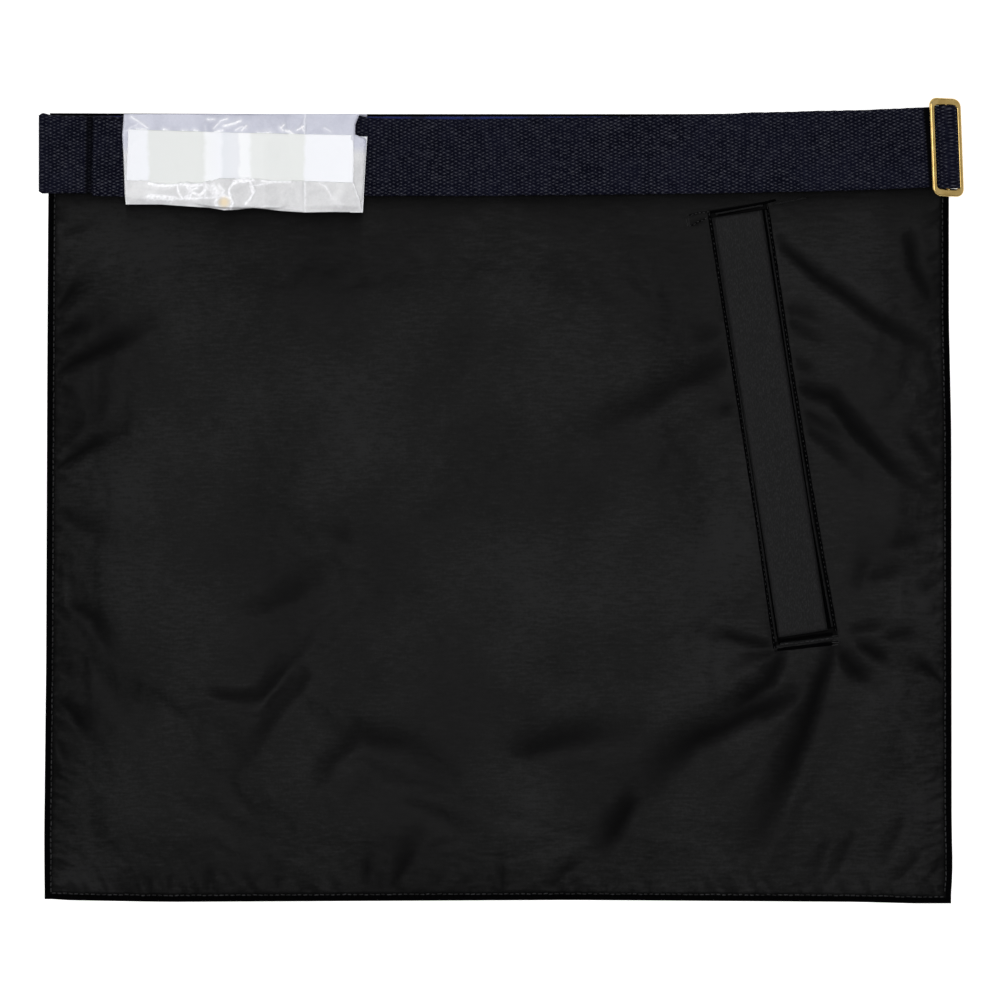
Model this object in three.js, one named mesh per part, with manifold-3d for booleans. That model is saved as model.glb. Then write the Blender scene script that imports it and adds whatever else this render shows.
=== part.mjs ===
// A masonic apron that lies face down, so its dark lining is on top.
// Its belt is closed across the top edge, and a clear wrapper holds the two ends.
// Millimetres, +Z up, +Y towards the top edge. The origin is the middle of the leather's underside.

import * as THREE from 'three';
import { mergeVertices } from 'three/addons/utils/BufferGeometryUtils.js';
import Module from 'manifold-3d';

// Body
const apronWidth = 406.4;
const apronHeight = 355.6;
const leatherWall = 1.6;
const liningWall = 1.2;
const leatherInset = 0.8;
const hemWidth = 2.9;
const stitchDip = 0.25;
const padRise = 2.5;
const padReach = 12;
const foldRise = 1.7;
const puckerRise = 0.5;
const puckerReach = 17;
const puckerPitch = 15;
const widePuckerPitch = 40.5;
const sidePuckerPitch = 28.5;

// Clearances
const restGap = 0.3;
const slideGap = 0.35;
const stepGap = 1;

// Flat band of the lining under the belt
const bandDrop = 9;
const bandFade = 14;

// Ribbon sewn along the top edge
const ribbonWidth = 13;
const ribbonWall = 1;
const ribbonDrop = 1.2;

// Belt webbing
const strapWidth = 36;
const strapWall = 1.8;
const leftTailLength = 33;
const leftFoldOverhang = 3.8;
const leftEndOverlap = 61.5;
const leftEndShift = 1.2;
const shiftedShare = 0.6;
const rightTailLength = 62;
const claspTailLength = 32;
const settleLength = 9;
const leanReach = 4;

// Clasp hidden in the wrapper
const claspBar = 2.2;
const claspRun = 14;
const claspRim = 1.7;
const claspInset = 88.2;
const claspEdge = 0.6;
const claspCrest = 1.5;
const claspDescent = 13.5;
const claspFade = 27;

// Slider at the right end of the belt
const sliderLength = 44.2;
const sliderSpan = 16;
const sliderSideBar = 2.4;
const sliderEndBar = 3.3;
const sliderWall = 2;
const sliderCorner = 3.8;
const sliderHoleCorner = 1.4;
const sliderEdge = 0.5;
const crossBar = 2;
const sliderRise = 8;
const sliderInset = 2.1;

// Pocket in the lining
const pocketLength = 195;
const pocketField = 27.4;
const pocketSlant = THREE.MathUtils.degToRad(8.86);
const weltWidth = 22.4;
const weltInset = 2;
const weltWall = 2;
const weltEdgeDrop = 0.35;
const weltCrease = 0.15;
const weltShortWave = 9;
const weltLongWave = 23;
const bedRise = 0.8;
const bedFade = 7;
const mouthSlot = 1.6;
const mouthMargin = 6;

// Wrapper round the belt
const filmWall = 0.5;
const filmCorner = 0.4;
const wrapperLength = 110.3;
const wrapperInset = 33.7;
const wrapperSlack = 6.7;
const wrapperFold = 2;
const leafShort = 5.4;
const flapSlant = 2.1;
const leafSlack = 0.35;
const crumple = 0.7;
const crumpleShortWave = 5.2;
const crumpleLongWave = 13;
const stripWidth = 22.9;
const stripLength = 100.5;
const stripInset = 2.5;
const stripWall = 0.5;

// Rows and columns of the meshed surfaces
const liningRowCount = 31;
const liningColumnCounts = { left: 25, pocket: 3, right: 7 };
const leatherSteps = 14;
const ribbonSteps = 24;
const weltSteps = { along: 24, across: 6 };
const wrapperSteps = 17;
const stripSteps = { along: 16, across: 4 };

// Lines of the hem inwards from the edge: the edge, the start of the dip, the seam and the start
// of the field, as shares of the hem's width
const hemLines = [0, 0.5, 1, 2.2];

// Edges of the body: how far each stands out from a plain rectangle,
// as shares of the apron's width or height
const leftEdge = [
  // share down, share of the width outwards
  [0, -0.0033],
  [0.12, -0.0011],
  [0.36, 0],
  [0.7, 0.0011],
  [0.93, 0.0033],
  [1, 0.0028],
];
const rightEdge = [
  [0, -0.0022],
  [0.26, -0.0022],
  [0.4, 0.0005],
  [0.9, 0.0009],
  [0.965, 0.0022],
  [1, -0.0006],
];
const topEdge = [
  // share across, share of the height outwards
  [0, -0.001],
  [0.3, -0.0022],
  [0.7, -0.0022],
  [1, 0.0005],
];
const bottomEdge = [
  [0, -0.0066],
  [0.01, -0.004],
  [0.13, -0.0015],
  [0.58, -0.004],
  [0.9, -0.0015],
  [0.96, 0.0004],
  [1, 0.0003],
];

// Middle line of the belt
const beltRoute = [
  // share of half the apron's width from the centre, share of the strap's width below the top edge
  [-1.02, 0.514],
  [-0.9, 0.514],
  [-0.8, 0.53],
  [-0.28, 0.547],
  [-0.04, 0.547],
  [0.22, 0.531],
  [0.46, 0.517],
  [0.62, 0.497],
  [0.81, 0.472],
  [0.89, 0.453],
  [0.95, 0.438],
  [1.04, 0.409],
];

// Folds of the lining. Places are shares of the apron's width and height from its centre,
// reach is a share of the width, and rise is a share of the fold height: ridges over 0, valleys under it.
const folds = [
  // x0, y0, x1, y1, reach, rise
  [-0.485, 0.049, -0.463, 0.068, 0.013, -1],
  [-0.463, 0.068, -0.419, 0.1, 0.014, -0.8],
  [-0.474, 0.083, -0.456, 0.098, 0.016, 0.8],
  [-0.483, 0.173, -0.435, 0.202, 0.014, -0.7],
  [-0.435, 0.202, -0.387, 0.231, 0.016, -0.4],
  [-0.485, 0.205, -0.452, 0.235, 0.014, 0.5],
  [-0.487, -0.013, -0.428, -0.037, 0.019, -0.7],
  [-0.483, -0.074, -0.463, -0.148, 0.016, 0.6],
  [-0.472, -0.122, -0.428, -0.182, 0.014, -0.6],
  [-0.485, -0.243, -0.449, -0.296, 0.015, -0.5],
  [-0.484, 0.364, -0.449, 0.38, 0.014, 0.5],
  [-0.315, -0.235, -0.264, -0.235, 0.017, -0.8],
  [-0.264, -0.235, -0.218, -0.175, 0.017, -0.8],
  [-0.284, -0.257, -0.258, -0.254, 0.013, 1],
  [-0.25, -0.245, -0.212, -0.19, 0.013, 1],
  [-0.222, -0.222, -0.259, -0.28, 0.018, -0.8],
  [-0.259, -0.28, -0.287, -0.328, 0.018, -0.5],
  [-0.271, -0.129, -0.189, -0.071, 0.024, -0.5],
  [-0.187, -0.323, -0.155, -0.286, 0.02, -0.5],
  [-0.155, -0.286, -0.069, -0.335, 0.022, -0.5],
  [0.045, -0.296, 0.143, -0.28, 0.022, -0.5],
  [0.25, 0.184, 0.145, 0.124, 0.03, -0.6],
  [0.262, 0.14, 0.16, 0.085, 0.03, 0.4],
  [0.313, 0.33, 0.354, 0.29, 0.014, -0.8],
  [0.354, 0.29, 0.408, 0.245, 0.015, -1],
  [0.408, 0.245, 0.476, 0.203, 0.017, -1],
  [0.36, 0.31, 0.43, 0.26, 0.017, 0.7],
  [0.455, 0.341, 0.457, 0.304, 0.015, -0.5],
  [0.457, 0.304, 0.488, 0.25, 0.015, -0.5],
  [0.336, 0.151, 0.368, 0.137, 0.013, -1],
  [0.368, 0.137, 0.404, 0.086, 0.015, -1],
  [0.404, 0.086, 0.486, 0.013, 0.018, -0.9],
  [0.375, 0.155, 0.425, 0.09, 0.016, 0.8],
  [0.34, 0.1, 0.39, 0.048, 0.016, 0.5],
  [0.4, -0.097, 0.406, -0.055, 0.017, -0.5],
  [0.412, -0.089, 0.464, -0.077, 0.017, -0.5],
  [0.373, -0.178, 0.412, -0.225, 0.016, -0.9],
  [0.404, -0.171, 0.437, -0.195, 0.014, -0.6],
  [0.445, -0.19, 0.49, -0.22, 0.015, -0.5],
  [0.365, -0.193, 0.348, -0.253, 0.015, -1],
  [0.348, -0.253, 0.3, -0.353, 0.018, -0.8],
  [0.3, -0.353, 0.258, -0.475, 0.018, -0.6],
  [0.33, -0.21, 0.31, -0.27, 0.017, 0.7],
  [0.311, -0.193, 0.289, -0.233, 0.015, -0.8],
  [0.289, -0.233, 0.241, -0.249, 0.015, -0.5],
  [0.299, -0.249, 0.241, -0.296, 0.022, -1],
  [0.241, -0.296, 0.145, -0.386, 0.026, -0.7],
  [0.29, -0.29, 0.2, -0.37, 0.02, 0.6],
  [0.464, -0.445, 0.428, -0.478, 0.014, -0.6],
];

// Bottom fold of the wrapper: how far it hangs below the belt's edge
const wrapperHang = [
  // share along the wrapper, share of its slack
  [0, 0.37],
  [0.18, 0.25],
  [0.32, 0.06],
  [0.43, 0.12],
  [0.53, 0.02],
  [0.76, 0.64],
  [1, 0.82],
];

// Lines of the film's section: 0 is the fold along the belt's top edge, 1 the belt's lower edge and
// 2 the free lower fold. The upper leaf's corner is cut back by shares of what the leaf is short,
// and the inner flap shows from the first to the second line of its start.
const upperLines = [0.12, 0.24, 0.3, 0.44, 0.58, 0.72, 0.86, 1, 1.2, 1.5, 1.8];
const lowerLines = [1.8, 1, 0.5];
const leafCorner = [0.6, 0.7];
const flapStart = [0.24, 0.3];

// Blank strip: its upper edge below the wrapper's, and its height, as shares of its width
const stripCut = [
  // share along the strip, drop, height
  [0, 0.31, 1],
  [0.55, 0.36, 0.94],
  [1, 0.42, 0.935],
];

// Levels that the stacked pieces share
const liningFloor = leatherWall + restGap;
const bandTop = liningFloor + liningWall;
const ribbonFloor = bandTop + restGap;
const beltFloor = ribbonFloor + ribbonWall + restGap;
const wrappedFloor = beltFloor + filmWall + restGap;
const layerStep = strapWall + restGap;
const weltFloor = bandTop + bedRise + restGap;

const lerp = THREE.MathUtils.lerp;
const clamp = THREE.MathUtils.clamp;
const ease = THREE.MathUtils.smoothstep;

// The value in a column of a table at a place between two rows, the first column being the place
function readTable(table, place, column = 1) {
  const last = table.length - 1;
  if (place <= table[0][0]) return table[0][column];
  if (place >= table[last][0]) return table[last][column];
  const row = table.findIndex((entry) => entry[0] > place);
  const [from, to] = [table[row - 1], table[row]];
  const share = (place - from[0]) / (to[0] - from[0]);
  return lerp(from[column], to[column], share);
}

// Even steps from one value to another, both ends included
function steps(from, to, count) {
  return Array.from({ length: count + 1 }, (_, index) => lerp(from, to, index / count));
}

// A closed solid between two grids of points that have the same rows and columns.
// With loop set, the last column joins the first, so the solid is a wall round a tube.
function wallSolid(outside, inside, loop = false) {
  const rows = outside.length;
  const columns = outside[0].length;
  const positions = [...outside, ...inside].flat().flatMap((point) => point.toArray());
  const outer = (row, column) => row * columns + (column % columns);
  const inner = (row, column) => rows * columns + outer(row, column);
  const index = [];
  const quad = (a, b, c, d) => index.push(a, b, c, a, c, d);
  const spans = loop ? columns : columns - 1;
  for (let row = 0; row < rows - 1; row += 1) {
    for (let column = 0; column < spans; column += 1) {
      const next = column + 1;
      quad(outer(row, column), outer(row + 1, column), outer(row + 1, next), outer(row, next));
      quad(inner(row, column), inner(row, next), inner(row + 1, next), inner(row + 1, column));
    }
  }
  for (let column = 0; column < spans; column += 1) {
    quad(outer(0, column + 1), inner(0, column + 1), inner(0, column), outer(0, column));
    const end = rows - 1;
    quad(outer(end, column), inner(end, column), inner(end, column + 1), outer(end, column + 1));
  }
  if (!loop) {
    const side = columns - 1;
    for (let row = 0; row < rows - 1; row += 1) {
      quad(outer(row, 0), inner(row, 0), inner(row + 1, 0), outer(row + 1, 0));
      quad(outer(row, side), outer(row + 1, side), inner(row + 1, side), inner(row, side));
    }
  }
  const geometry = new THREE.BufferGeometry();
  geometry.setAttribute('position', new THREE.Float32BufferAttribute(positions, 3));
  geometry.setIndex(index);
  return geometry;
}

// Sides of the body at a share down it, and its ends at a share across it
function sidesAt(down) {
  return {
    left: -apronWidth / 2 - readTable(leftEdge, down) * apronWidth,
    right: apronWidth / 2 + readTable(rightEdge, down) * apronWidth,
  };
}

function endsAt(across) {
  return {
    top: apronHeight / 2 + readTable(topEdge, across) * apronHeight,
    bottom: -apronHeight / 2 - readTable(bottomEdge, across) * apronHeight,
  };
}

// The smallest distance from a point to the outline, inwards
function insetAt(x, y) {
  const sides = sidesAt(0.5 - y / apronHeight);
  const ends = endsAt(0.5 + x / apronWidth);
  return Math.min(x - sides.left, sides.right - x, ends.top - y, y - ends.bottom);
}

// How far the clasp stands past the strap's edges at a place along the belt
const claspPlace = claspInset - apronWidth / 2;
function claspReach(x) {
  const past = Math.abs(x - claspPlace) - claspRun / 2 - claspBar;
  return (slideGap + claspRim) * (1 - ease(past, 0, claspFade));
}

// Height of the belt's middle line over the centre of the apron, lower where the clasp holds it
function beltMiddle(x) {
  const drop = readTable(beltRoute, x / (apronWidth / 2));
  return apronHeight / 2 - drop * strapWidth - claspReach(x);
}

// Angle of the belt's middle line
function beltLean(x) {
  return Math.atan((beltMiddle(x + leanReach) - beltMiddle(x - leanReach)) / (2 * leanReach));
}

// Pocket frame: a point at a distance along the pocket from its middle, and across it
const pocketCentre = new THREE.Vector2(0.3014 * apronWidth, 0.1063 * apronHeight);
function pocketPoint(along, across) {
  const down = new THREE.Vector2(Math.sin(pocketSlant), -Math.cos(pocketSlant));
  const side = new THREE.Vector2(Math.cos(pocketSlant), Math.sin(pocketSlant));
  return pocketCentre.clone().addScaledVector(down, along).addScaledVector(side, across);
}

// Where the pocket's left or right field line crosses a height, side being -1 or 1
function pocketLine(y, side) {
  const reach = (side * pocketField) / 2 / Math.cos(pocketSlant);
  return pocketCentre.x + reach - (y - pocketCentre.y) * Math.tan(pocketSlant);
}

function segmentDistance(x, y, x0, y0, x1, y1) {
  const dx = x1 - x0;
  const dy = y1 - y0;
  const share = clamp(((x - x0) * dx + (y - y0) * dy) / (dx * dx + dy * dy), 0, 1);
  return Math.hypot(x - x0 - share * dx, y - y0 - share * dy);
}

// Ridges and valleys of the lining at a point
function foldsAt(x, y) {
  let height = 0;
  for (const [x0, y0, x1, y1, reach, rise] of folds) {
    const distance = segmentDistance(
      x, y, x0 * apronWidth, y0 * apronHeight, x1 * apronWidth, y1 * apronHeight);
    height += rise * foldRise * Math.exp(-((distance / (reach * apronWidth)) ** 2));
  }
  return height;
}

// Small puckers that run in from the stitched hem
function puckersAt(x, y, inset) {
  const wave = (place, pitch) => Math.sin((2 * Math.PI * place) / pitch);
  const nearBottom = y + apronHeight / 2 < puckerReach;
  const height = nearBottom ? wave(x, puckerPitch) + wave(x, widePuckerPitch) : wave(y, sidePuckerPitch);
  return puckerRise * height * Math.exp(-inset / puckerReach);
}

// Top of the lining: a stitched hem, the padded field, the flat band under the belt and the pocket's bed
function liningTop(x, y, rowStep) {
  const inset = Math.max(insetAt(x, y), 0);
  const dipStart = hemWidth * hemLines[1];
  if (inset < dipStart) return bandTop - stitchDip * (1 - inset / dipStart);
  if (inset <= hemWidth) return bandTop - stitchDip;
  const padded = 1 - Math.exp(-(inset - hemWidth) / padReach);
  const bandEdge = beltMiddle(x) - strapWidth / 2 - bandDrop;
  const open = ease(bandEdge - y, 0, bandFade);
  const field = (padRise + foldsAt(x, y) + puckersAt(x, y, inset)) * padded * open;
  const end = pocketLength / 2 * Math.cos(pocketSlant) + pocketField / 2 * Math.sin(pocketSlant);
  const past = Math.abs(y - pocketCentre.y) - end - rowStep;
  const beside = Math.max(pocketLine(y, -1) - x, x - pocketLine(y, 1));
  const bed = (1 - ease(past, 0, rowStep)) * (1 - ease(beside, 0, bedFade));
  return bandTop + Math.max(lerp(field, bedRise, bed), 0);
}

// Place across the body of each column of the lining, closer together at the hem and at the pocket
function liningColumns(y, sides) {
  const hem = hemLines.map((line) => line * hemWidth);
  const fieldInset = hem.pop();
  const left = steps(sides.left + fieldInset, pocketLine(y, -1), liningColumnCounts.left);
  const middle = steps(pocketLine(y, -1), pocketLine(y, 1), liningColumnCounts.pocket);
  const right = steps(pocketLine(y, 1), sides.right - fieldInset, liningColumnCounts.right);
  return [
    ...hem.map((inset) => sides.left + inset),
    ...left,
    ...middle.slice(1),
    ...right.slice(1),
    ...hem.reverse().map((inset) => sides.right - inset),
  ];
}

// Share down the body of each row of the lining
function liningRows() {
  const hem = hemLines.map((line) => line * hemWidth / apronHeight);
  const fieldStart = hem.pop();
  const field = steps(fieldStart, 1 - fieldStart, liningRowCount);
  return [...hem, ...field, ...hem.toReversed().map((share) => 1 - share)];
}

// Padded lining, hollow underneath, with its turned and stitched edge
function liningGeometry() {
  const shares = liningRows();
  const rowStep = apronHeight / liningRowCount;
  const grid = shares.map((down) => {
    const sides = sidesAt(down);
    const level = apronHeight * (0.5 - down);
    return liningColumns(level, sides).map((x) => {
      const ends = endsAt(0.5 + x / apronWidth);
      const y = lerp(ends.top, ends.bottom, down);
      return new THREE.Vector3(x, y, liningTop(x, y, rowStep));
    });
  });
  const under = grid.map((row) => row.map((point) => {
    const floor = Math.max(point.z - liningWall, liningFloor);
    return new THREE.Vector3(point.x, point.y, floor);
  }));
  return wallSolid(grid, under);
}

// Slot that opens the lining under the free edge of the welt
function mouthGeometry() {
  const across = weltInset + weltWidth - pocketField / 2;
  const half = pocketLength / 2 - mouthMargin;
  const corners = [
    pocketPoint(-half, across - mouthSlot),
    pocketPoint(half, across - mouthSlot),
    pocketPoint(half, across),
    pocketPoint(-half, across),
  ];
  return new THREE.ExtrudeGeometry(new THREE.Shape(corners), { depth: weltFloor, bevelEnabled: false });
}

// Flat leather sheet under the lining
function leatherGeometry() {
  const place = (down, across) => {
    const sides = sidesAt(down);
    const ends = endsAt(across);
    const x = lerp(sides.left + leatherInset, sides.right - leatherInset, across);
    const y = lerp(ends.top - leatherInset, ends.bottom + leatherInset, down);
    return new THREE.Vector2(x, y);
  };
  const onward = steps(0, 1, leatherSteps).slice(0, -1);
  const back = steps(1, 0, leatherSteps).slice(0, -1);
  const around = [
    ...onward.map((down) => place(down, 0)),
    ...onward.map((across) => place(1, across)),
    ...back.map((down) => place(down, 1)),
    ...back.map((across) => place(0, across)),
  ];
  return new THREE.ExtrudeGeometry(new THREE.Shape(around), { depth: leatherWall, bevelEnabled: false });
}

// Ribbon laid on the lining along the top edge
function ribbonGeometry() {
  const row = (drop, level) => steps(0, 1, ribbonSteps).map((across) => {
    const sides = sidesAt(0);
    const x = lerp(sides.left + hemWidth, sides.right - hemWidth, across);
    const y = endsAt(0.5 + x / apronWidth).top - drop;
    return new THREE.Vector3(x, y, level);
  });
  const face = (level) => [row(ribbonDrop, level), row(ribbonDrop + ribbonWidth, level)];
  return wallSolid(face(ribbonFloor + ribbonWall), face(ribbonFloor));
}

// A strap from its side view: points of its middle line in x and z, and how far each lies down the apron
function strapGeometry(path, shiftAt = () => 0) {
  const top = [];
  const under = [];
  path.forEach((point, index) => {
    const before = path[Math.max(index - 1, 0)];
    const after = path[Math.min(index + 1, path.length - 1)];
    const normal = new THREE.Vector2(before.y - after.y, after.x - before.x).normalize();
    const lean = beltLean(point.x);
    const side = (share, lift) => {
      const across = share * strapWidth;
      const x = point.x + normal.x * lift - across * Math.sin(lean);
      const y = beltMiddle(point.x) - shiftAt(index) + across * Math.cos(lean);
      return new THREE.Vector3(x, y, point.y + normal.y * lift);
    };
    const shares = [0.5, 0, -0.5];
    top.push(shares.map((share) => side(share, strapWall / 2)));
    under.push(shares.map((share) => side(share, -strapWall / 2)));
  });
  return wallSolid(top.map((row) => row.reverse()), under.map((row) => row.reverse()));
}

// A strap's middle line as it is laid: it starts at a point, glides level at both ends to further
// points, and turns round bars that lie straight over or under where it is, angles in half turns from +X
class StrapLine {
  constructor(x, z) {
    this.points = [new THREE.Vector2(x, z)];
  }

  glide(x, z, count) {
    const from = this.points.at(-1).clone();
    for (const share of steps(0, 1, count).slice(1)) {
      this.points.push(new THREE.Vector2(lerp(from.x, x, share), lerp(from.y, z, ease(share, 0, 1))));
    }
    return this;
  }

  turn(x, z, radius, start, end, count) {
    for (const angle of steps(start * Math.PI, end * Math.PI, count).slice(1)) {
      this.points.push(new THREE.Vector2(x + radius * Math.cos(angle), z + radius * Math.sin(angle)));
    }
    return this;
  }
}

// Heights of the strap's middle line
const lowLayer = beltFloor + strapWall / 2;
const wrappedLayer = wrappedFloor + strapWall / 2;
const claspTurn = claspBar / 2 + slideGap + strapWall / 2;
const claspLevel = wrappedLayer + claspTurn;
const sliderPlace = apronWidth / 2 - sliderInset;
const wrapperStart = wrapperInset - apronWidth / 2;
const leftBarPlace = claspPlace - claspRun / 2;
const rightBarPlace = claspPlace + claspRun / 2;
const crossTurn = crossBar / 2 + slideGap + strapWall / 2;
const crossLevel = lowLayer + crossTurn;
const leftFoldPlace = -apronWidth / 2 - leftFoldOverhang + layerStep / 2 + strapWall / 2;
const leftTailEnd = leftFoldPlace + leftTailLength;
const leftRunDown = leftTailEnd + settleLength;

// Left strap: sewn tail, fold past the body's edge, run to the clasp and back on top of itself,
// where the free end comes to lie a little lower down the apron
function leftStrapGeometry() {
  const foldTurn = layerStep / 2;
  const upperLayer = wrappedLayer + layerStep;
  const freeEnd = leftBarPlace - leftEndOverlap;
  const line = new StrapLine(leftTailEnd, lowLayer)
    .glide(leftFoldPlace, lowLayer, 5)
    .turn(leftFoldPlace, lowLayer + foldTurn, foldTurn, 1.5, 0.5, 6)
    .glide(leftTailEnd + stepGap, lowLayer + layerStep, 5)
    .glide(leftRunDown, wrappedLayer, 4)
    .glide(leftBarPlace, wrappedLayer, 6)
    .turn(leftBarPlace, claspLevel, claspTurn, -0.5, 0.5, 6)
    .glide(leftBarPlace - claspDescent, upperLayer, 5)
    .glide(leftRunDown, upperLayer, 4)
    .glide(leftTailEnd + stepGap, lowLayer + 2 * layerStep, 4)
    .glide(freeEnd, lowLayer + 2 * layerStep, 2);
  const path = line.points.reverse();
  const lapped = path.findIndex((point) => point.x > leftBarPlace - stepGap);
  return strapGeometry(path, (index) => leftEndShift * ease(1 - index / lapped, 0, shiftedShare));
}

// Right strap: loop on the clasp, run across the apron, over the slider's cross bar and back to a sewn tail
function rightStrapGeometry() {
  const upperLayer = wrappedLayer + layerStep;
  const loopEnd = rightBarPlace + claspTailLength;
  const wrapEnd = wrapperStart + wrapperLength + settleLength / 2;
  const tailEnd = sliderPlace - rightTailLength;
  const line = new StrapLine(loopEnd, wrappedLayer)
    .glide(rightBarPlace, wrappedLayer, 4)
    .turn(rightBarPlace, claspLevel, claspTurn, 1.5, 0.5, 6)
    .glide(rightBarPlace + claspDescent, upperLayer, 5)
    .glide(loopEnd + stepGap, upperLayer, 3)
    .glide(loopEnd + settleLength, wrappedLayer, 4)
    .glide(wrapEnd, wrappedLayer, 2)
    .glide(wrapEnd + settleLength, lowLayer, 3)
    .glide(tailEnd - settleLength, lowLayer, 14)
    .glide(tailEnd - stepGap, lowLayer + layerStep, 4)
    .glide(sliderPlace - sliderRise, lowLayer + layerStep, 6)
    .glide(sliderPlace, crossLevel + crossTurn, 8)
    .turn(sliderPlace, crossLevel, crossTurn, 0.5, -0.5, 8)
    .glide(tailEnd, lowLayer, 8);
  return strapGeometry(line.points);
}

// A rectangle with round corners as an outline, added to a shape or used as a hole
function roundRectangle(path, width, height, radius) {
  const side = width / 2;
  const top = height / 2;
  path.moveTo(radius - side, -top);
  path.lineTo(side - radius, -top);
  path.absarc(side - radius, radius - top, radius, -Math.PI / 2, 0, false);
  path.lineTo(side, top - radius);
  path.absarc(side - radius, top - radius, radius, 0, Math.PI / 2, false);
  path.lineTo(radius - side, top);
  path.absarc(radius - side, top - radius, radius, Math.PI / 2, Math.PI, false);
  path.lineTo(-side, radius - top);
  path.absarc(radius - side, radius - top, radius, Math.PI, 1.5 * Math.PI, false);
  return path;
}

// A flat metal frame with bevelled edges, its middle at the origin
function frameGeometry(outline, hole, corner, holeCorner, wall, edge) {
  const shape = roundRectangle(
    new THREE.Shape(), outline.width - 2 * edge, outline.height - 2 * edge, corner);
  shape.holes.push(roundRectangle(
    new THREE.Path(), hole.width + 2 * edge, hole.height + 2 * edge, holeCorner));
  const frame = new THREE.ExtrudeGeometry(shape, {
    depth: wall - 2 * edge, bevelThickness: edge, bevelSize: edge, bevelSegments: 1, curveSegments: 4,
  });
  frame.translate(0, 0, edge - wall / 2);
  return frame;
}

// Plain ring that both straps loop round
function claspGeometry() {
  const hole = { width: claspRun - claspBar, height: strapWidth + 2 * slideGap };
  const outline = { width: claspRun + claspBar, height: hole.height + 2 * claspRim };
  const ring = frameGeometry(outline, hole, claspRim - claspEdge, claspEdge, claspBar, claspEdge);
  ring.translate(claspPlace, beltMiddle(claspPlace), claspLevel);
  return ring;
}

// Height that the slider's left bar needs over its cross bar to clear the strap between them
const leftBarInner = sliderSpan / 2 - sliderSideBar;
const strapShare = ease(1 - leftBarInner / sliderRise, 0, 1);
const strapUnderBar = lerp(lowLayer + layerStep, crossLevel + crossTurn, strapShare);
const leftBarLift = strapUnderBar + strapWall / 2 + slideGap + sliderWall / 2 - crossLevel;
const sliderTilt = Math.asin(leftBarLift / leftBarInner);

// Slider frame with a round cross bar, tilted because the strap runs under one side and over the middle
function sliderGeometry(solid) {
  const outline = { width: sliderSpan, height: sliderLength };
  const hole = { width: sliderSpan - 2 * sliderSideBar, height: sliderLength - 2 * sliderEndBar };
  const frame = frameGeometry(
    outline, hole, sliderCorner - sliderEdge, sliderHoleCorner, sliderWall, sliderEdge);
  const bar = new THREE.CylinderGeometry(crossBar / 2, crossBar / 2, sliderLength - sliderEndBar, 12);
  const joined = solid(frame).add(solid(bar));
  const geometry = plainGeometry(joined);
  geometry.rotateY(sliderTilt);
  geometry.rotateZ(beltLean(sliderPlace));
  geometry.translate(sliderPlace, beltMiddle(sliderPlace), crossLevel);
  return geometry;
}

// Welt of the pocket: a folded strip sewn over the bed, free along the mouth
function weltGeometry() {
  const half = pocketLength / 2 - weltInset;
  const across = steps(0, 1, weltSteps.across);
  const grid = steps(-half, half, weltSteps.along).map((along) => across.map((share) => {
    const place = pocketPoint(along, weltInset - pocketField / 2 + share * weltWidth);
    const edgeDrop = share === 0 || share === 1 ? weltEdgeDrop : 0;
    const crease = weltCrease * Math.sin(along / weltShortWave) * Math.sin(along / weltLongWave);
    return new THREE.Vector3(place.x, place.y, weltFloor + weltWall - edgeDrop + crease);
  }));
  const under = grid.map((row) => row.map((point) => new THREE.Vector3(point.x, point.y, weltFloor)));
  return wallSolid(grid, under);
}

// Height of the belt's upper face inside the wrapper
function wrappedTop(x) {
  const claspTop = claspLevel + claspTurn + strapWall / 2;
  const plainTop = wrappedLayer + layerStep + strapWall / 2;
  const tailTop = lowLayer + 2 * layerStep + strapWall / 2;
  const away = Math.abs(x - claspPlace) - claspRun / 2 - claspCrest;
  const flat = lerp(claspTop, plainTop, ease(away, 0, claspDescent));
  return lerp(flat, tailTop, ease(leftRunDown - x, 0, settleLength)) + leafSlack;
}

// Section of the film round the belt at a share of its length: up the top edge, over the upper leaf,
// down the free lower fold and back under the belt. The upper leaf ends short of the lower one.
function filmSection(along, inset) {
  const reach = (short) => wrapperStart + along * (wrapperLength - short);
  const point = (x, edge, lift) => {
    const middle = beltMiddle(x);
    const side = strapWidth / 2 + claspReach(x) + restGap;
    const high = middle + side + filmWall - inset;
    const rim = middle - side - leftEndShift;
    const low = rim - filmWall - wrapperSlack * readTable(wrapperHang, along) + inset;
    const ceiling = wrappedTop(x) + restGap + filmWall - inset;
    const floor = beltFloor + inset;
    const foldTop = floor + wrapperFold - 2 * inset;
    const y = edge <= 1 ? lerp(high, rim, edge) : lerp(rim, low, edge - 1);
    const crown = edge <= 1 ? ceiling : lerp(ceiling, foldTop, ease(edge, 1, 2));
    const shortWave = Math.sin(x / crumpleShortWave + 7 * edge);
    const longWave = Math.sin(x / crumpleLongWave - 5 * edge);
    const taut = clamp(3 - 1.5 * edge, 0, 1);
    const raised = crown + crumple * Math.abs(shortWave * longWave) * lift * taut;
    return new THREE.Vector3(x, y, lerp(floor, raised, lift));
  };
  const chamfer = (vector, dy, dz) => vector.add(new THREE.Vector3(0, dy, dz));
  const leafEnd = (edge) => lerp(leafShort, (flapSlant * edge) / 2, ease(edge, ...flapStart));
  return [
    chamfer(point(reach(0), 0, 0), 0, filmCorner),
    chamfer(point(reach(leafShort * leafCorner[0]), 0, 1), 0, -filmCorner),
    chamfer(point(reach(leafShort * leafCorner[1]), 0, 1), -filmCorner, 0),
    ...upperLines.map((edge) => point(reach(leafEnd(edge)), edge, 1)),
    point(reach(flapSlant), 2, 0.5),
    ...lowerLines.map((edge) => point(reach(0), edge, 0)),
    chamfer(point(reach(0), 0, 0), -filmCorner, 0),
  ];
}

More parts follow.
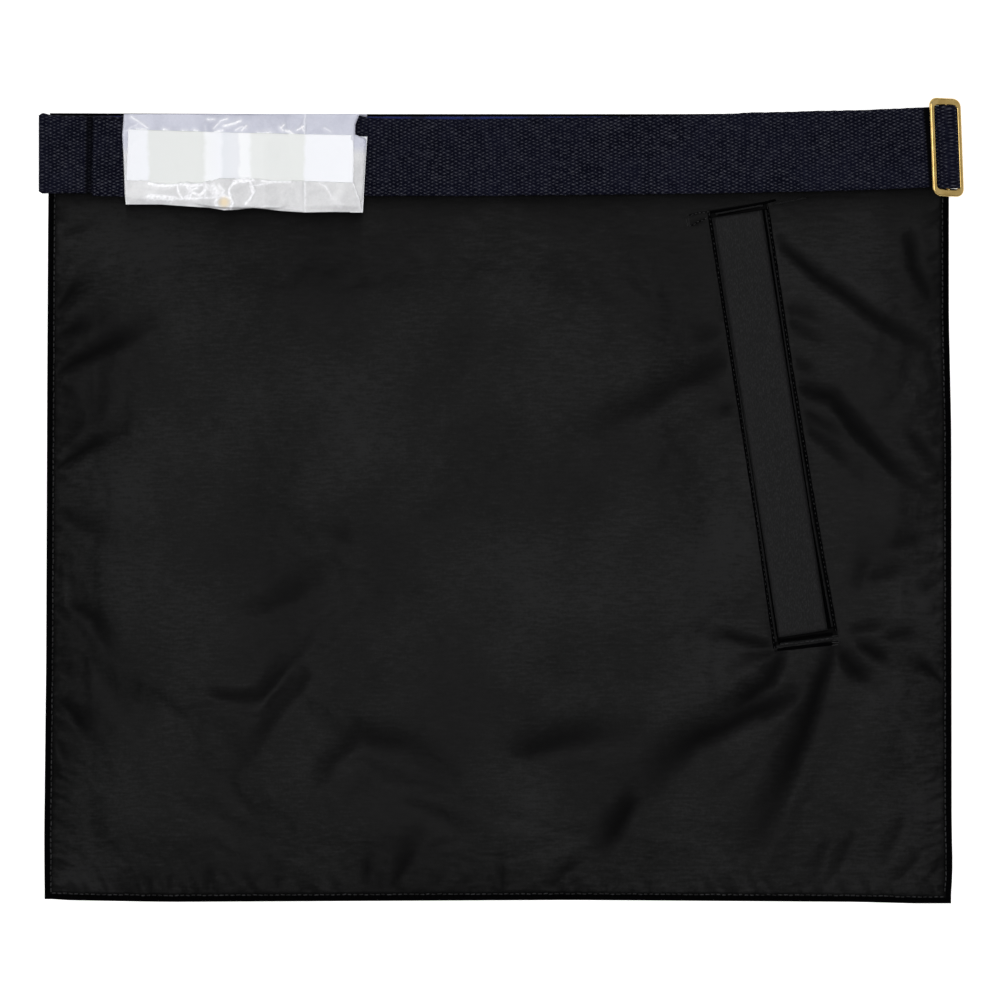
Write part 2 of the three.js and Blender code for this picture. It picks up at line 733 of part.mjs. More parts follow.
function wrapperGeometry() {
  const wall = (inset) => steps(1, 0, wrapperSteps).map((along) => filmSection(along, inset));
  return wallSolid(wall(0), wall(filmWall), true);
}

// Blank strip laid over the film
function stripGeometry() {
  const stripStart = wrapperStart + stripInset;
  const alongs = steps(0, 1, stripSteps.along);
  const layer = (lift) => steps(0, 1, stripSteps.across).map((share) => alongs.map((along) => {
    const x = stripStart + along * stripLength;
    const wrapperTop = beltMiddle(x) + strapWidth / 2 + claspReach(x);
    const drop = readTable(stripCut, along) + share * readTable(stripCut, along, 2);
    const z = wrappedTop(x) + restGap + filmWall + crumple + restGap + lift;
    return new THREE.Vector3(x, wrapperTop - drop * stripWidth, z);
  }));
  return wallSolid(layer(stripWall), layer(0));
}

// A manifold solid from a mesh, and a mesh from a manifold solid
function solidMaker(wasm) {
  return (geometry) => {
    const bare = geometry.clone();
    bare.deleteAttribute('normal');
    bare.deleteAttribute('uv');
    const merged = mergeVertices(bare, 1e-4);
    const mesh = new wasm.Mesh({
      numProp: 3,
      vertProperties: new Float32Array(merged.attributes.position.array),
      triVerts: new Uint32Array(merged.index.array),
    });
    return new wasm.Manifold(mesh);
  };
}

function plainGeometry(solid) {
  const mesh = solid.getMesh();
  const geometry = new THREE.BufferGeometry();
  geometry.setAttribute('position', new THREE.BufferAttribute(mesh.vertProperties, 3));
  geometry.setIndex(new THREE.BufferAttribute(mesh.triVerts, 1));
  return geometry;
}

function piece(name, geometry, color, roughness, metalness) {
  geometry.computeVertexNormals();
  const material = new THREE.MeshStandardMaterial({ color, roughness, metalness });
  const mesh = new THREE.Mesh(geometry, material);
  mesh.name = name;
  return mesh;
}

const wasm = await Module();
wasm.setup();
const solid = solidMaker(wasm);

const lining = plainGeometry(solid(liningGeometry()).subtract(solid(mouthGeometry())));

const group = new THREE.Group();
group.add(
  piece('front_panel', leatherGeometry(), 0xe9e6df, 0.6, 0),
  piece('back_lining', lining, 0x15151a, 0.5, 0),
  piece('top_ribbon', ribbonGeometry(), 0x1e2d78, 0.5, 0),
  piece('pocket_welt', weltGeometry(), 0x1b1b20, 0.6, 0),
  piece('left_strap', leftStrapGeometry(), 0x181922, 0.85, 0),
  piece('right_strap', rightStrapGeometry(), 0x181922, 0.85, 0),
  piece('belt_clasp', claspGeometry(), 0xbe964b, 0.35, 1),
  piece('brass_slider', sliderGeometry(solid), 0xbe964b, 0.3, 1),
  piece('belt_wrapper', wrapperGeometry(), 0xd7d7db, 0.35, 0),
  piece('wrapper_strip', stripGeometry(), 0xfafaff, 0.6, 0),
);

export default group;
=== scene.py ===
# A masonic apron lying face down: padded black lining, welt pocket, webbing belt with a brass slider,
# and a creased milky wrapper with a blank strip round the closed belt.
# Metres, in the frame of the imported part: +X across the apron, +Y up it, +Z out of the lining.

import math

import bmesh
import bpy
import numpy as np
from mathutils import Matrix, Vector, noise
from mathutils.bvhtree import BVHTree


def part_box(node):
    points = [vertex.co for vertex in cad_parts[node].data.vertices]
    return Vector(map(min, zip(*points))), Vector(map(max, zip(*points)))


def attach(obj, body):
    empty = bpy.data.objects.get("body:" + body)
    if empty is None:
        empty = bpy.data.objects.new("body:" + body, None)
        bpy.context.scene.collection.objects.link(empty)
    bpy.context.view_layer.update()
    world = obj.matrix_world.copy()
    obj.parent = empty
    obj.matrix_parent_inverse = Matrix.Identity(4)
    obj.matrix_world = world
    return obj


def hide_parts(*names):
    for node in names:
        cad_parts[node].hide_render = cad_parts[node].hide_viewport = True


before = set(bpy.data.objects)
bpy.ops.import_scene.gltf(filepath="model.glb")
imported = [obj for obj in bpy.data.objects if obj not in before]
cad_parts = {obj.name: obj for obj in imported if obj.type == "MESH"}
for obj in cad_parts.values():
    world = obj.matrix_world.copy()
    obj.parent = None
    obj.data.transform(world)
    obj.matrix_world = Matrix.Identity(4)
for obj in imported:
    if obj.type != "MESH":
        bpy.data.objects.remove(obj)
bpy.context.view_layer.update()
scene = bpy.context.scene

MM = 0.001

# The vector noise that moves folds and stitches is the same each run only with a seed of its own
noise.seed_set(5)

# The photo's frame: what one of its pixels measures on the apron, and where the apron's middle lies
PIXEL = MM / 2.2244
MIDDLE_COLUMN = 499
MIDDLE_ROW = 507.75
PHOTO_SIDE = 1000

# Body
APRON_WIDTH = 406.4 * MM
APRON_HEIGHT = 355.6 * MM
LEATHER_WALL = 1.6 * MM
LINING_WALL = 1.2 * MM
HEM_WIDTH = 2.9 * MM
REST_GAP = 0.3 * MM
SLIDE_GAP = 0.35 * MM
STEP_GAP = 1 * MM

# Belt
STRAP_WIDTH = 36 * MM
STRAP_WALL = 1.8 * MM
RIBBON_WALL = 1 * MM
LEFT_TAIL = 33 * MM
FOLD_OVERHANG = 3.8 * MM
LEFT_END_OVERLAP = 60.4 * MM
LEFT_END_SHIFT = 1.2 * MM
SHIFTED_SHARE = 0.6
RIGHT_TAIL = 62 * MM
CLASP_TAIL = 32 * MM
SETTLE = 9 * MM
CLASP_BAR = 2.2 * MM
CLASP_RUN = 14 * MM
CLASP_RIM = 1.7 * MM
CLASP_INSET = 88.2 * MM
CLASP_DESCENT = 13.5 * MM
CLASP_FADE = 27 * MM
FILM_WALL = 0.5 * MM
WRAPPER_LENGTH = 110.3 * MM
WRAPPER_INSET = 33.7 * MM

# Slider
SLIDER_LENGTH = 44.2 * MM
SLIDER_SPAN = 16 * MM
SIDE_BAR = 2.4 * MM
END_BAR = 3.6 * MM
SLIDER_WALL = 2 * MM
SLIDER_CORNER = 3.8 * MM
HOLE_CORNER = 1.4 * MM
CROSS_BAR = 2 * MM
SLIDER_RISE = 8 * MM
SLIDER_INSET = 2.1 * MM
SLIDER_SAG = 0.5 * MM
SLIDER_LEAN_SHARE = 0.65
SLIDER_SHEAR = 0.08
LOOP_STRETCH = 1.75

# Pocket
POCKET_LENGTH = 195 * MM
POCKET_FIELD = 27.4 * MM
POCKET_SLANT = math.radians(8.86)
POCKET_MIDDLE = Vector((0.3014 * APRON_WIDTH, 0.1063 * APRON_HEIGHT))
WELT_WIDTH = 22.4 * MM
WELT_INSET = 2 * MM
WELT_WALL = 2 * MM
BED_RISE = 0.8 * MM

# Levels that the stacked pieces share
LINING_FLOOR = LEATHER_WALL + REST_GAP
BAND_TOP = LINING_FLOOR + LINING_WALL
RIBBON_FLOOR = BAND_TOP + REST_GAP
BELT_FLOOR = RIBBON_FLOOR + RIBBON_WALL + REST_GAP
WRAPPED_FLOOR = BELT_FLOOR + FILM_WALL + REST_GAP
LAYER_STEP = STRAP_WALL + REST_GAP
LOW_LAYER = BELT_FLOOR + STRAP_WALL / 2
WRAPPED_LAYER = WRAPPED_FLOOR + STRAP_WALL / 2
CLASP_TURN = CLASP_BAR / 2 + SLIDE_GAP + STRAP_WALL / 2
CLASP_LEVEL = WRAPPED_LAYER + CLASP_TURN
CROSS_TURN = CROSS_BAR / 2 + SLIDE_GAP + STRAP_WALL / 2
CROSS_LEVEL = LOW_LAYER + CROSS_TURN
CLASP_PLACE = CLASP_INSET - APRON_WIDTH / 2
SLIDER_PLACE = APRON_WIDTH / 2 - SLIDER_INSET
WRAPPER_START = WRAPPER_INSET - APRON_WIDTH / 2
WELT_TOP = BAND_TOP + BED_RISE + REST_GAP + WELT_WALL

# Middle line of the belt: share of half the apron's width, share of the strap's width below its top
BELT_ROUTE = [
    (-1.02, 0.514), (-0.9, 0.514), (-0.8, 0.53), (-0.28, 0.547), (-0.04, 0.547), (0.22, 0.531),
    (0.46, 0.517), (0.62, 0.497), (0.81, 0.472), (0.89, 0.453), (0.95, 0.438), (1.04, 0.409),
]

# Weave of the webbing: distance between its columns of knots, and between the knots of a column
KNOT_COLUMN = 1.75 * MM
KNOT_PITCH = 1.57 * MM

# Folds of the lining in the photo's pixels: the points of each crease, its reach and its rise in mm.
# Ridges rise over 0 and valleys under it.
FOLDS = [
    # left edge, upper part
    ([(59, 220), (89, 207)], 4.0, 0.5),
    ([(58, 240), (66, 232), (97, 218)], 4.0, -0.6),
    ([(58, 309), (70, 295), (89, 274)], 4.5, -0.8),
    ([(59, 337), (78, 327), (95, 320)], 4.5, -0.7),
    ([(59, 362), (87, 343)], 4.0, 0.7),
    ([(58, 374), (70, 366), (106, 348), (149, 325)], 4.5, -1.0),
    ([(59, 396), (68, 390)], 3.0, -0.4),
    ([(59, 427), (87, 425)], 4.0, -0.4),
    ([(56, 470), (66, 463), (80, 454), (120, 429)], 3.2, -1.5),
    ([(60, 449), (72, 442), (96, 428)], 3.4, 0.9),
    # left edge, lower part
    ([(57, 513), (80, 524), (112, 537)], 6.0, -0.5),
    ([(62, 566), (62, 604), (80, 625)], 4.0, 0.6),
    ([(72, 604), (93, 618), (112, 652)], 4.0, -0.7),
    ([(57, 611), (68, 620)], 3.0, -0.5),
    ([(55, 667), (74, 677)], 3.0, -0.5),
    ([(58, 699), (74, 713), (93, 742)], 4.0, -0.8),
    ([(57, 744), (66, 761)], 3.2, -0.5),
    # middle left
    ([(214, 694), (240, 697), (260, 694), (282, 670), (302, 646)], 2.8, -0.6),
    ([(242, 711), (260, 710), (281, 684), (302, 648)], 3.0, 0.7),
    ([(304, 676), (285, 703), (265, 729), (240, 767)], 3.6, -0.5),
    ([(254, 610), (294, 593), (328, 564)], 5.0, -0.35),
    ([(347, 530), (341, 547)], 5.0, -0.3),
    ([(322, 780), (330, 763), (359, 734), (406, 746), (437, 773)], 6.0, -0.5),
    ([(345, 790), (372, 762), (405, 770)], 7.0, 0.5),
    ([(520, 752), (560, 738), (628, 729)], 8.0, -0.6),
    # bottom puckers
    ([(147, 890), (150, 876)], 2.6, -0.5),
    ([(168, 890), (168, 872)], 2.6, -0.5),
    ([(206, 891), (210, 868)], 2.8, -0.5),
    ([(242, 889), (252, 878), (262, 866)], 3.0, 0.7),
    ([(279, 890), (280, 874)], 2.8, -0.5),
    ([(366, 890), (366, 852)], 3.2, -0.7),
    ([(381, 890), (384, 870)], 2.8, -0.4),
    ([(392, 888), (406, 862), (418, 838)], 3.6, -0.7),
    ([(436, 890), (440, 872)], 2.8, -0.4),
    ([(450, 888), (472, 868)], 3.2, 0.6),
    ([(502, 890), (502, 858)], 3.2, -0.7),
    ([(550, 888), (566, 872), (588, 860)], 3.6, -0.6),
    ([(617, 890), (618, 872)], 2.8, -0.4),
    ([(634, 800), (616, 828), (600, 858)], 5.0, -0.8),
    ([(827, 842), (810, 888)], 3.2, -0.4),
    ([(851, 840), (836, 868), (820, 892)], 3.2, -0.45),
    ([(903, 824), (879, 870)], 3.6, -0.4),
    ([(920, 856), (886, 888)], 3.0, -0.5),
    ([(936, 866), (906, 892)], 3.2, 0.6),
    # left of the pocket
    ([(727, 360), (690, 380), (630, 410), (590, 430)], 6.5, -0.6),
    ([(734, 392), (690, 412), (640, 432)], 8.0, 0.5),
    ([(736, 406), (721, 414)], 3.0, -0.5),
    ([(722, 330), (690, 345)], 5.0, -0.3),
    # right of the pocket
    ([(775, 238), (782, 247), (819, 278), (868, 314), (929, 347), (940, 388)], 3.8, -1.0),
    ([(800, 246), (846, 282), (904, 318)], 5.0, 0.6),
    ([(910, 236), (912, 267), (940, 310)], 4.0, -0.7),
    ([(786, 308), (825, 319)], 3.0, -0.5),
    ([(789, 321), (806, 332), (825, 345)], 3.0, -0.5),
    ([(794, 360), (814, 375)], 3.0, -0.5),
    ([(799, 386), (832, 399), (864, 440), (897, 470), (942, 499)], 3.4, -1.3),
    ([(800, 402), (828, 424), (852, 450)], 3.2, 0.7),
    ([(801, 412), (847, 440)], 2.8, -0.5),
    ([(806, 427), (834, 450), (855, 473)], 3.0, -0.6),
    ([(910, 434), (925, 452), (942, 470)], 3.6, -0.6),
    ([(886, 444), (908, 458), (927, 473)], 3.6, 0.5),
    # right, lower
    ([(944, 577), (916, 593)], 3.6, -0.6),
    ([(895, 547), (931, 536)], 4.0, -0.5),
    ([(859, 586), (866, 552)], 3.6, -0.4),
    ([(869, 578), (918, 569)], 3.8, -0.5),
    # fan from the pocket's lower right corner
    ([(838, 652), (856, 671), (878, 687)], 4.5, -1.1),
    ([(862, 646), (878, 655), (893, 664)], 4.0, -1.0),
    ([(853, 631), (870, 628), (891, 624)], 2.6, -0.6),
    ([(885, 637), (903, 636), (922, 633)], 4.4, -0.6),
    ([(944, 684), (925, 668), (905, 657)], 3.8, -1.1),
    ([(833, 648), (821, 683), (804, 735), (786, 780), (760, 850)], 5.0, -1.1),
    ([(826, 656), (806, 700), (780, 742)], 5.0, 0.5),
    ([(846, 690), (826, 742), (792, 800), (768, 868)], 6.0, 0.4),
    # fan from its lower left corner
    ([(781, 656), (768, 684), (744, 702), (712, 716)], 4.2, -1.3),
    ([(771, 646), (748, 642), (720, 634), (704, 631)], 2.6, -0.8),
    ([(774, 653), (752, 658), (738, 668)], 2.4, -0.6),
    ([(790, 698), (735, 722), (690, 742), (640, 800)], 7.0, -1.3),
    ([(752, 752), (704, 790), (664, 840)], 6.0, 0.5),
    # creases over the pocket's upper end
    ([(760, 206), (799, 196)], 2.6, -0.5),
    ([(709, 211), (684, 216)], 1.6, -0.6),
    ([(709, 220), (688, 227)], 1.6, -0.6),
    ([(705, 216), (688, 221)], 1.4, 0.4),
]

# Broad, soft waves of the padding: centre in the photo's pixels, radius and rise in mm
SWELLS = [
    (150, 560, 26, 0.7), (110, 800, 24, 0.5), (290, 300, 40, 0.4), (560, 300, 34, 0.4),
    (540, 480, 44, 0.3), (230, 480, 30, -0.4), (420, 620, 34, -0.3), (520, 700, 30, 0.4),
    (360, 830, 24, 0.4), (560, 830, 26, 0.4), (690, 620, 24, 0.3), (880, 250, 12, 0.5),
    (890, 400, 12, 0.5), (900, 520, 12, 0.5), (880, 730, 18, 0.6), (640, 520, 26, -0.3),
    (340, 410, 30, 0.3), (480, 380, 30, -0.3), (170, 680, 20, 0.4), (300, 540, 22, 0.3),
]

# Marks on the wrapper's top leaf in the photo's pixels, whitened creases and scuffs with painted highlights
# along crease ridges and the leaf's edges: points, half width in mm, whiteness, rise in mm
MARKS = [
    # above the strip
    ([(131.4, 117), (139, 122), (147.6, 127.6)], 0.3, 0.9, 0.3),
    ([(126, 131), (138, 124)], 0.4, 0.4, 0.2),
    ([(207.8, 119.2), (214.3, 119.8)], 0.4, 0.9, 0.2),
    ([(214, 128.5), (221, 121), (227.3, 118.7)], 0.4, 0.8, 0.3),
    ([(224, 126.5), (233, 124.5), (240.3, 121.1)], 0.6, 1.0, 0.3),
    ([(242, 131), (246.8, 126)], 0.5, 0.8, 0.2),
    ([(281, 128.5), (284.3, 125.2)], 0.4, 1.0, 0.2),
    ([(281, 127.6), (283.4, 130.9)], 0.4, 1.0, 0.2),
    ([(297.3, 130.1), (303.8, 126.8)], 0.4, 1.0, 0.3),
    ([(302, 126.8), (303.4, 131)], 0.35, 0.9, 0.2),
    ([(289.1, 132), (298.1, 137)], 0.7, 1.0, 0.2),
    ([(258, 133.5), (266, 134.5)], 0.5, 1.0, 0.2),
    ([(324, 128), (331, 132)], 0.3, 0.5, 0.2),
    ([(164, 130), (168, 131)], 0.5, 1.0, 0.1),
    ([(205, 126), (206, 133)], 0.3, 0.4, 0.2),
    # vertical folds
    ([(289, 115), (288.5, 134)], 0.5, 0.25, -0.3),
    ([(305, 115), (304.5, 134)], 0.35, 0.5, 0.3),
    ([(305, 183), (305.5, 212)], 0.4, 0.5, 0.3),
    ([(206, 184), (205, 199)], 0.5, 0.6, 0.2),
    # below the strip
    ([(151, 195.5), (163, 196.5), (175.3, 198.6)], 1.1, 1.0, 0.2),
    ([(150, 184), (163, 186), (176.9, 184.6)], 0.5, 0.9, 0.2),
    ([(176.9, 184.6), (179, 193), (183, 199.2), (189.9, 199.6), (192, 190), (197, 188)], 0.5, 1.0, 0.3),
    ([(193.2, 193.4), (200, 195.5), (204.6, 191), (204.6, 183)], 0.8, 1.0, 0.3),
    ([(213, 186), (218, 193)], 1.5, 0.85, 0.3),
    ([(165.5, 199.4), (188.3, 199), (211, 197.6), (226, 197)], 0.5, 0.9, 0.2),
    ([(233.8, 183), (229, 190), (230.5, 197), (233, 203), (231, 209)], 0.7, 1.0, 0.4),
    ([(233.8, 181), (243.6, 178.4), (251.7, 178), (254, 180.5), (245, 182.3), (236, 182)], 0.4, 1.0, 0.3),
    ([(250, 181), (254.5, 192), (249.5, 200)], 0.5, 1.0, 0.4),
    ([(252.5, 186.2), (272, 183), (290.8, 181)], 0.3, 0.8, 0.2),
    ([(281, 180.5), (290.8, 181.3)], 0.5, 1.0, 0.2),
    ([(319.2, 183), (326, 187), (329, 192), (331, 196)], 0.3, 0.7, 0.2),
    ([(253, 208.4), (270, 206), (304, 211)], 0.3, 0.4, 0.3),
    ([(332, 196), (340, 205)], 1.6, 0.3, 0.2),
    ([(149, 183.5), (158, 185.5), (170, 186), (176, 185)], 0.9, 1.0, 0.1),
    ([(176, 185.5), (184, 184.5), (192, 186), (203, 184.6)], 0.8, 1.0, 0.1),
    ([(149, 197), (160, 198.2), (172, 199)], 1.3, 1.0, 0.1),
    ([(188, 187), (191, 191), (189, 196), (186, 198)], 1.2, 0.9, 0.2),
    ([(206, 186), (212, 190), (216, 196)], 1.6, 0.7, 0.2),
    ([(219, 186), (223, 191), (221, 196)], 1.0, 0.8, 0.2),
    ([(234, 184), (240, 181), (250, 180.6)], 0.7, 1.0, 0.1),
    ([(251, 187), (253, 194), (250, 199), (246, 204)], 0.7, 1.0, 0.2),
    ([(262, 181.5), (276, 182), (291, 182)], 0.5, 0.9, 0.1),
    # flecks along the strip's upper edge
    ([(137, 129), (146, 130)], 0.5, 1.0, 0.1), ([(183, 131), (187, 132)], 0.5, 0.9, 0.1),
    ([(194, 130.5), (198, 131.6)], 0.5, 0.9, 0.1), ([(215, 132), (222, 131)], 0.6, 1.0, 0.1),
    ([(236, 130), (243, 127), (246, 128)], 0.4, 0.8, 0.2),
    ([(262, 134), (270, 133.4), (274, 136)], 0.8, 1.0, 0.1),
    ([(286, 131), (292, 134), (300, 137.6)], 0.6, 1.0, 0.2),
    # ring round the spot, and painted highlights along the leaf's edges
    ([(217, 199), (224, 195.5), (231, 200), (232, 206), (225, 210), (217, 207), (215.5, 202), (217, 199)],
     0.8, 0.9, 0.1),
    ([(353.6, 137), (354, 160), (353.4, 183), (359.7, 200), (362.3, 212)], 0.35, 0.9, 0.3),
    ([(123.9, 115), (122.2, 135), (123.6, 160), (124.8, 195), (126, 205)], 0.4, 0.7, 0.0),
]
YELLOW_SPOT = (224.5, 202.5)

# Outlines of the wrapper's top leaf, of its inner flap and of the blank strip, in the photo's pixels
LEAF_LEFT = [(124.2, 113.8), (122.4, 135), (123.8, 160), (125, 195), (126.2, 205)]
LEAF_RIGHT = [
    (358.4, 113.8), (354.5, 124), (353.6, 137), (354.1, 165), (353.6, 183), (359.7, 200), (362, 212.4)]
LEAF_TOP = [(124.2, 114.2), (240, 114.2), (358.4, 114.2)]
LEAF_FOOT = [
    (126.2, 204.6), (161.7, 204.6), (178.9, 205.9), (209, 207.9), (223.7, 210.4), (237.4, 209.9),
    (253, 208.3), (265, 209.4), (282, 211.1), (304.6, 212.6), (333.9, 212.1), (362, 212.4)]
FLAP_LEFT = [(350, 136.5), (350, 212.6)]
FLAP_RIGHT = [(367.3, 136.7), (364.9, 175), (362.8, 212.6)]
STRIP_TOP = [(128.6, 129.5), (240, 133), (353.7, 135.3)]
STRIP_FOOT = [
    (126.4, 180.6), (149, 181), (152, 182.6), (172, 184.4), (186, 182.4), (200, 183.6), (206, 181.8),
    (222, 178.6), (236, 178.9), (247.8, 178.2), (262, 179.6), (280, 181.4), (300, 181.2), (353.2, 183)]
# The strip's tones along it: column in the photo, colour
STRIP_TONES = [
    (128, (0.84, 0.85, 0.89)), (147, (0.84, 0.85, 0.89)), (150, (0.74, 0.755, 0.75)),
    (203, (0.75, 0.765, 0.755)), (207, (0.86, 0.87, 0.89)), (221, (0.85, 0.86, 0.90)),
    (224, (0.76, 0.78, 0.82)), (238, (0.78, 0.79, 0.83)), (241, (0.88, 0.89, 0.91)),
    (249, (0.87, 0.88, 0.9)), (252, (0.77, 0.785, 0.78)), (303, (0.76, 0.775, 0.765)),
    (306, (0.85, 0.86, 0.9)), (354, (0.86, 0.87, 0.91)),
]


def photo_place(column, row):
    """The point of the apron that a pixel of the photo shows."""
    return Vector(((column - MIDDLE_COLUMN) * PIXEL, (MIDDLE_ROW - row) * PIXEL))


def photo_line(points):
    return [photo_place(column, row) for column, row in points]


def photo_array(points):
    return np.array([tuple(place) for place in photo_line(points)])


def noise_at(places, size, layer=0.0):
    """Smooth noise at each place, with bumps of a size, and unlike that of another layer."""
    return np.array([noise.noise(Vector((x, y, layer)) / size) for x, y in places])


def wander_at(places, size, layer):
    """Two smooth noises at each place, to move a line by."""
    return np.array([noise.noise_vector(Vector((x, y, layer)) / size)[:2] for x, y in places])


def ease(value, low, high):
    """0 up to a low value, 1 from a high one, and smooth between them."""
    share = np.clip((value - low) / (high - low), 0, 1)
    return share * share * (3 - 2 * share)


def belt_middle(x):
    """Height of the belt's middle line, lower where the clasp holds it."""
    shares, drops = zip(*BELT_ROUTE)
    past = abs(x - CLASP_PLACE) - CLASP_RUN / 2 - CLASP_BAR
    clasp_reach = (SLIDE_GAP + CLASP_RIM) * (1 - ease(past, 0, CLASP_FADE))
    return APRON_HEIGHT / 2 - np.interp(x / (APRON_WIDTH / 2), shares, drops) * STRAP_WIDTH - clasp_reach


def belt_lean(x, reach=4 * MM):
    """The belt's slant at a place across the apron."""
    return math.atan((belt_middle(x + reach) - belt_middle(x - reach)) / (2 * reach))


def pocket_place(along, across):
    """A point of the pocket, at a distance down it from its middle and across it to the right."""
    down = Vector((math.sin(POCKET_SLANT), -math.cos(POCKET_SLANT)))
    side = Vector((math.cos(POCKET_SLANT), math.sin(POCKET_SLANT)))
    return POCKET_MIDDLE + down * along + side * across


class Probe:
    """Finds the edges and the top of a closed shape."""

    def __init__(self, source):
        shape = bmesh.new()
        shape.from_mesh(source.data)
        self.tree = BVHTree.FromBMesh(shape)
        heights = [v.co.z for v in shape.verts]
        self.above = max(heights) + 5 * MM
        shape.free()

    def top(self, x, y, missing=0.0):
        hit = self.tree.ray_cast(Vector((x, y, self.above)), Vector((0, 0, -1)))[0]
        return hit.z if hit else missing

    def edge(self, start, way):
        return self.tree.ray_cast(Vector(start), Vector(way))[0]


def new_object(name, shape):
    """Writes a finished bmesh into an object at the origin."""
    mesh = bpy.data.meshes.new(name)
    shape.to_mesh(mesh)
    shape.free()
    mesh.polygons.foreach_set("use_smooth", [True] * len(mesh.polygons))
    piece = bpy.data.objects.new(name, mesh)
    scene.collection.objects.link(piece)
    return piece


def copy_of_node(node):
    """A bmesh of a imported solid, its loose triangles merged into one shell of quads."""
    shape = bmesh.new()
    shape.from_mesh(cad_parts[node].data)
    bmesh.ops.remove_doubles(shape, verts=shape.verts, dist=0.01 * MM)
    bmesh.ops.join_triangles(
        shape, faces=shape.faces, angle_face_threshold=3.2, angle_shape_threshold=3.2)
    return shape


def unit_grid(rows, columns):
    """A grid from 0 to 1 each way, with the places of its vertices as an array."""
    shape = bmesh.new()
    bmesh.ops.create_grid(
        shape, x_segments=rows, y_segments=columns, size=0.5,
        matrix=Matrix.Translation((0.5, 0.5, 0)), calc_uvs=True)
    shape.verts.ensure_lookup_table()
    places = np.array([v.co[:2] for v in shape.verts])
    return shape, places


def place_vertices(shape, points):
    for vertex, point in zip(shape.verts, points):
        vertex.co = point


def face_up(shape):
    """Turns a sheet's faces to one side, mostly upwards."""
    bmesh.ops.recalc_face_normals(shape, faces=shape.faces)
    if sum(face.normal.z * face.calc_area() for face in shape.faces) < 0:
        bmesh.ops.reverse_faces(shape, faces=shape.faces)


def give_wall(piece, thickness):
    """Makes a sheet a closed wall under its surface."""
    wall = piece.modifiers.new("wall", "SOLIDIFY")
    wall.thickness = thickness
    wall.offset = -1


def sharp_edges(shape, angle):
    return [edge for edge in shape.edges if len(edge.link_faces) == 2 and edge.calc_face_angle(0) > angle]


def set_surface_map(shape, places):
    """UV map in millimetres from a pair of lengths for each vertex."""
    layer = shape.loops.layers.uv.verify()
    for face in shape.faces:
        for loop in face.loops:
            loop[layer].uv = places[loop.vert.index]


def finish_piece(piece, material, slot, *nodes):
    piece.data.materials.clear()
    piece.data.materials.append(material)
    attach(piece, "root")
    if nodes:
        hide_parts(*nodes)
    return piece


# Materials


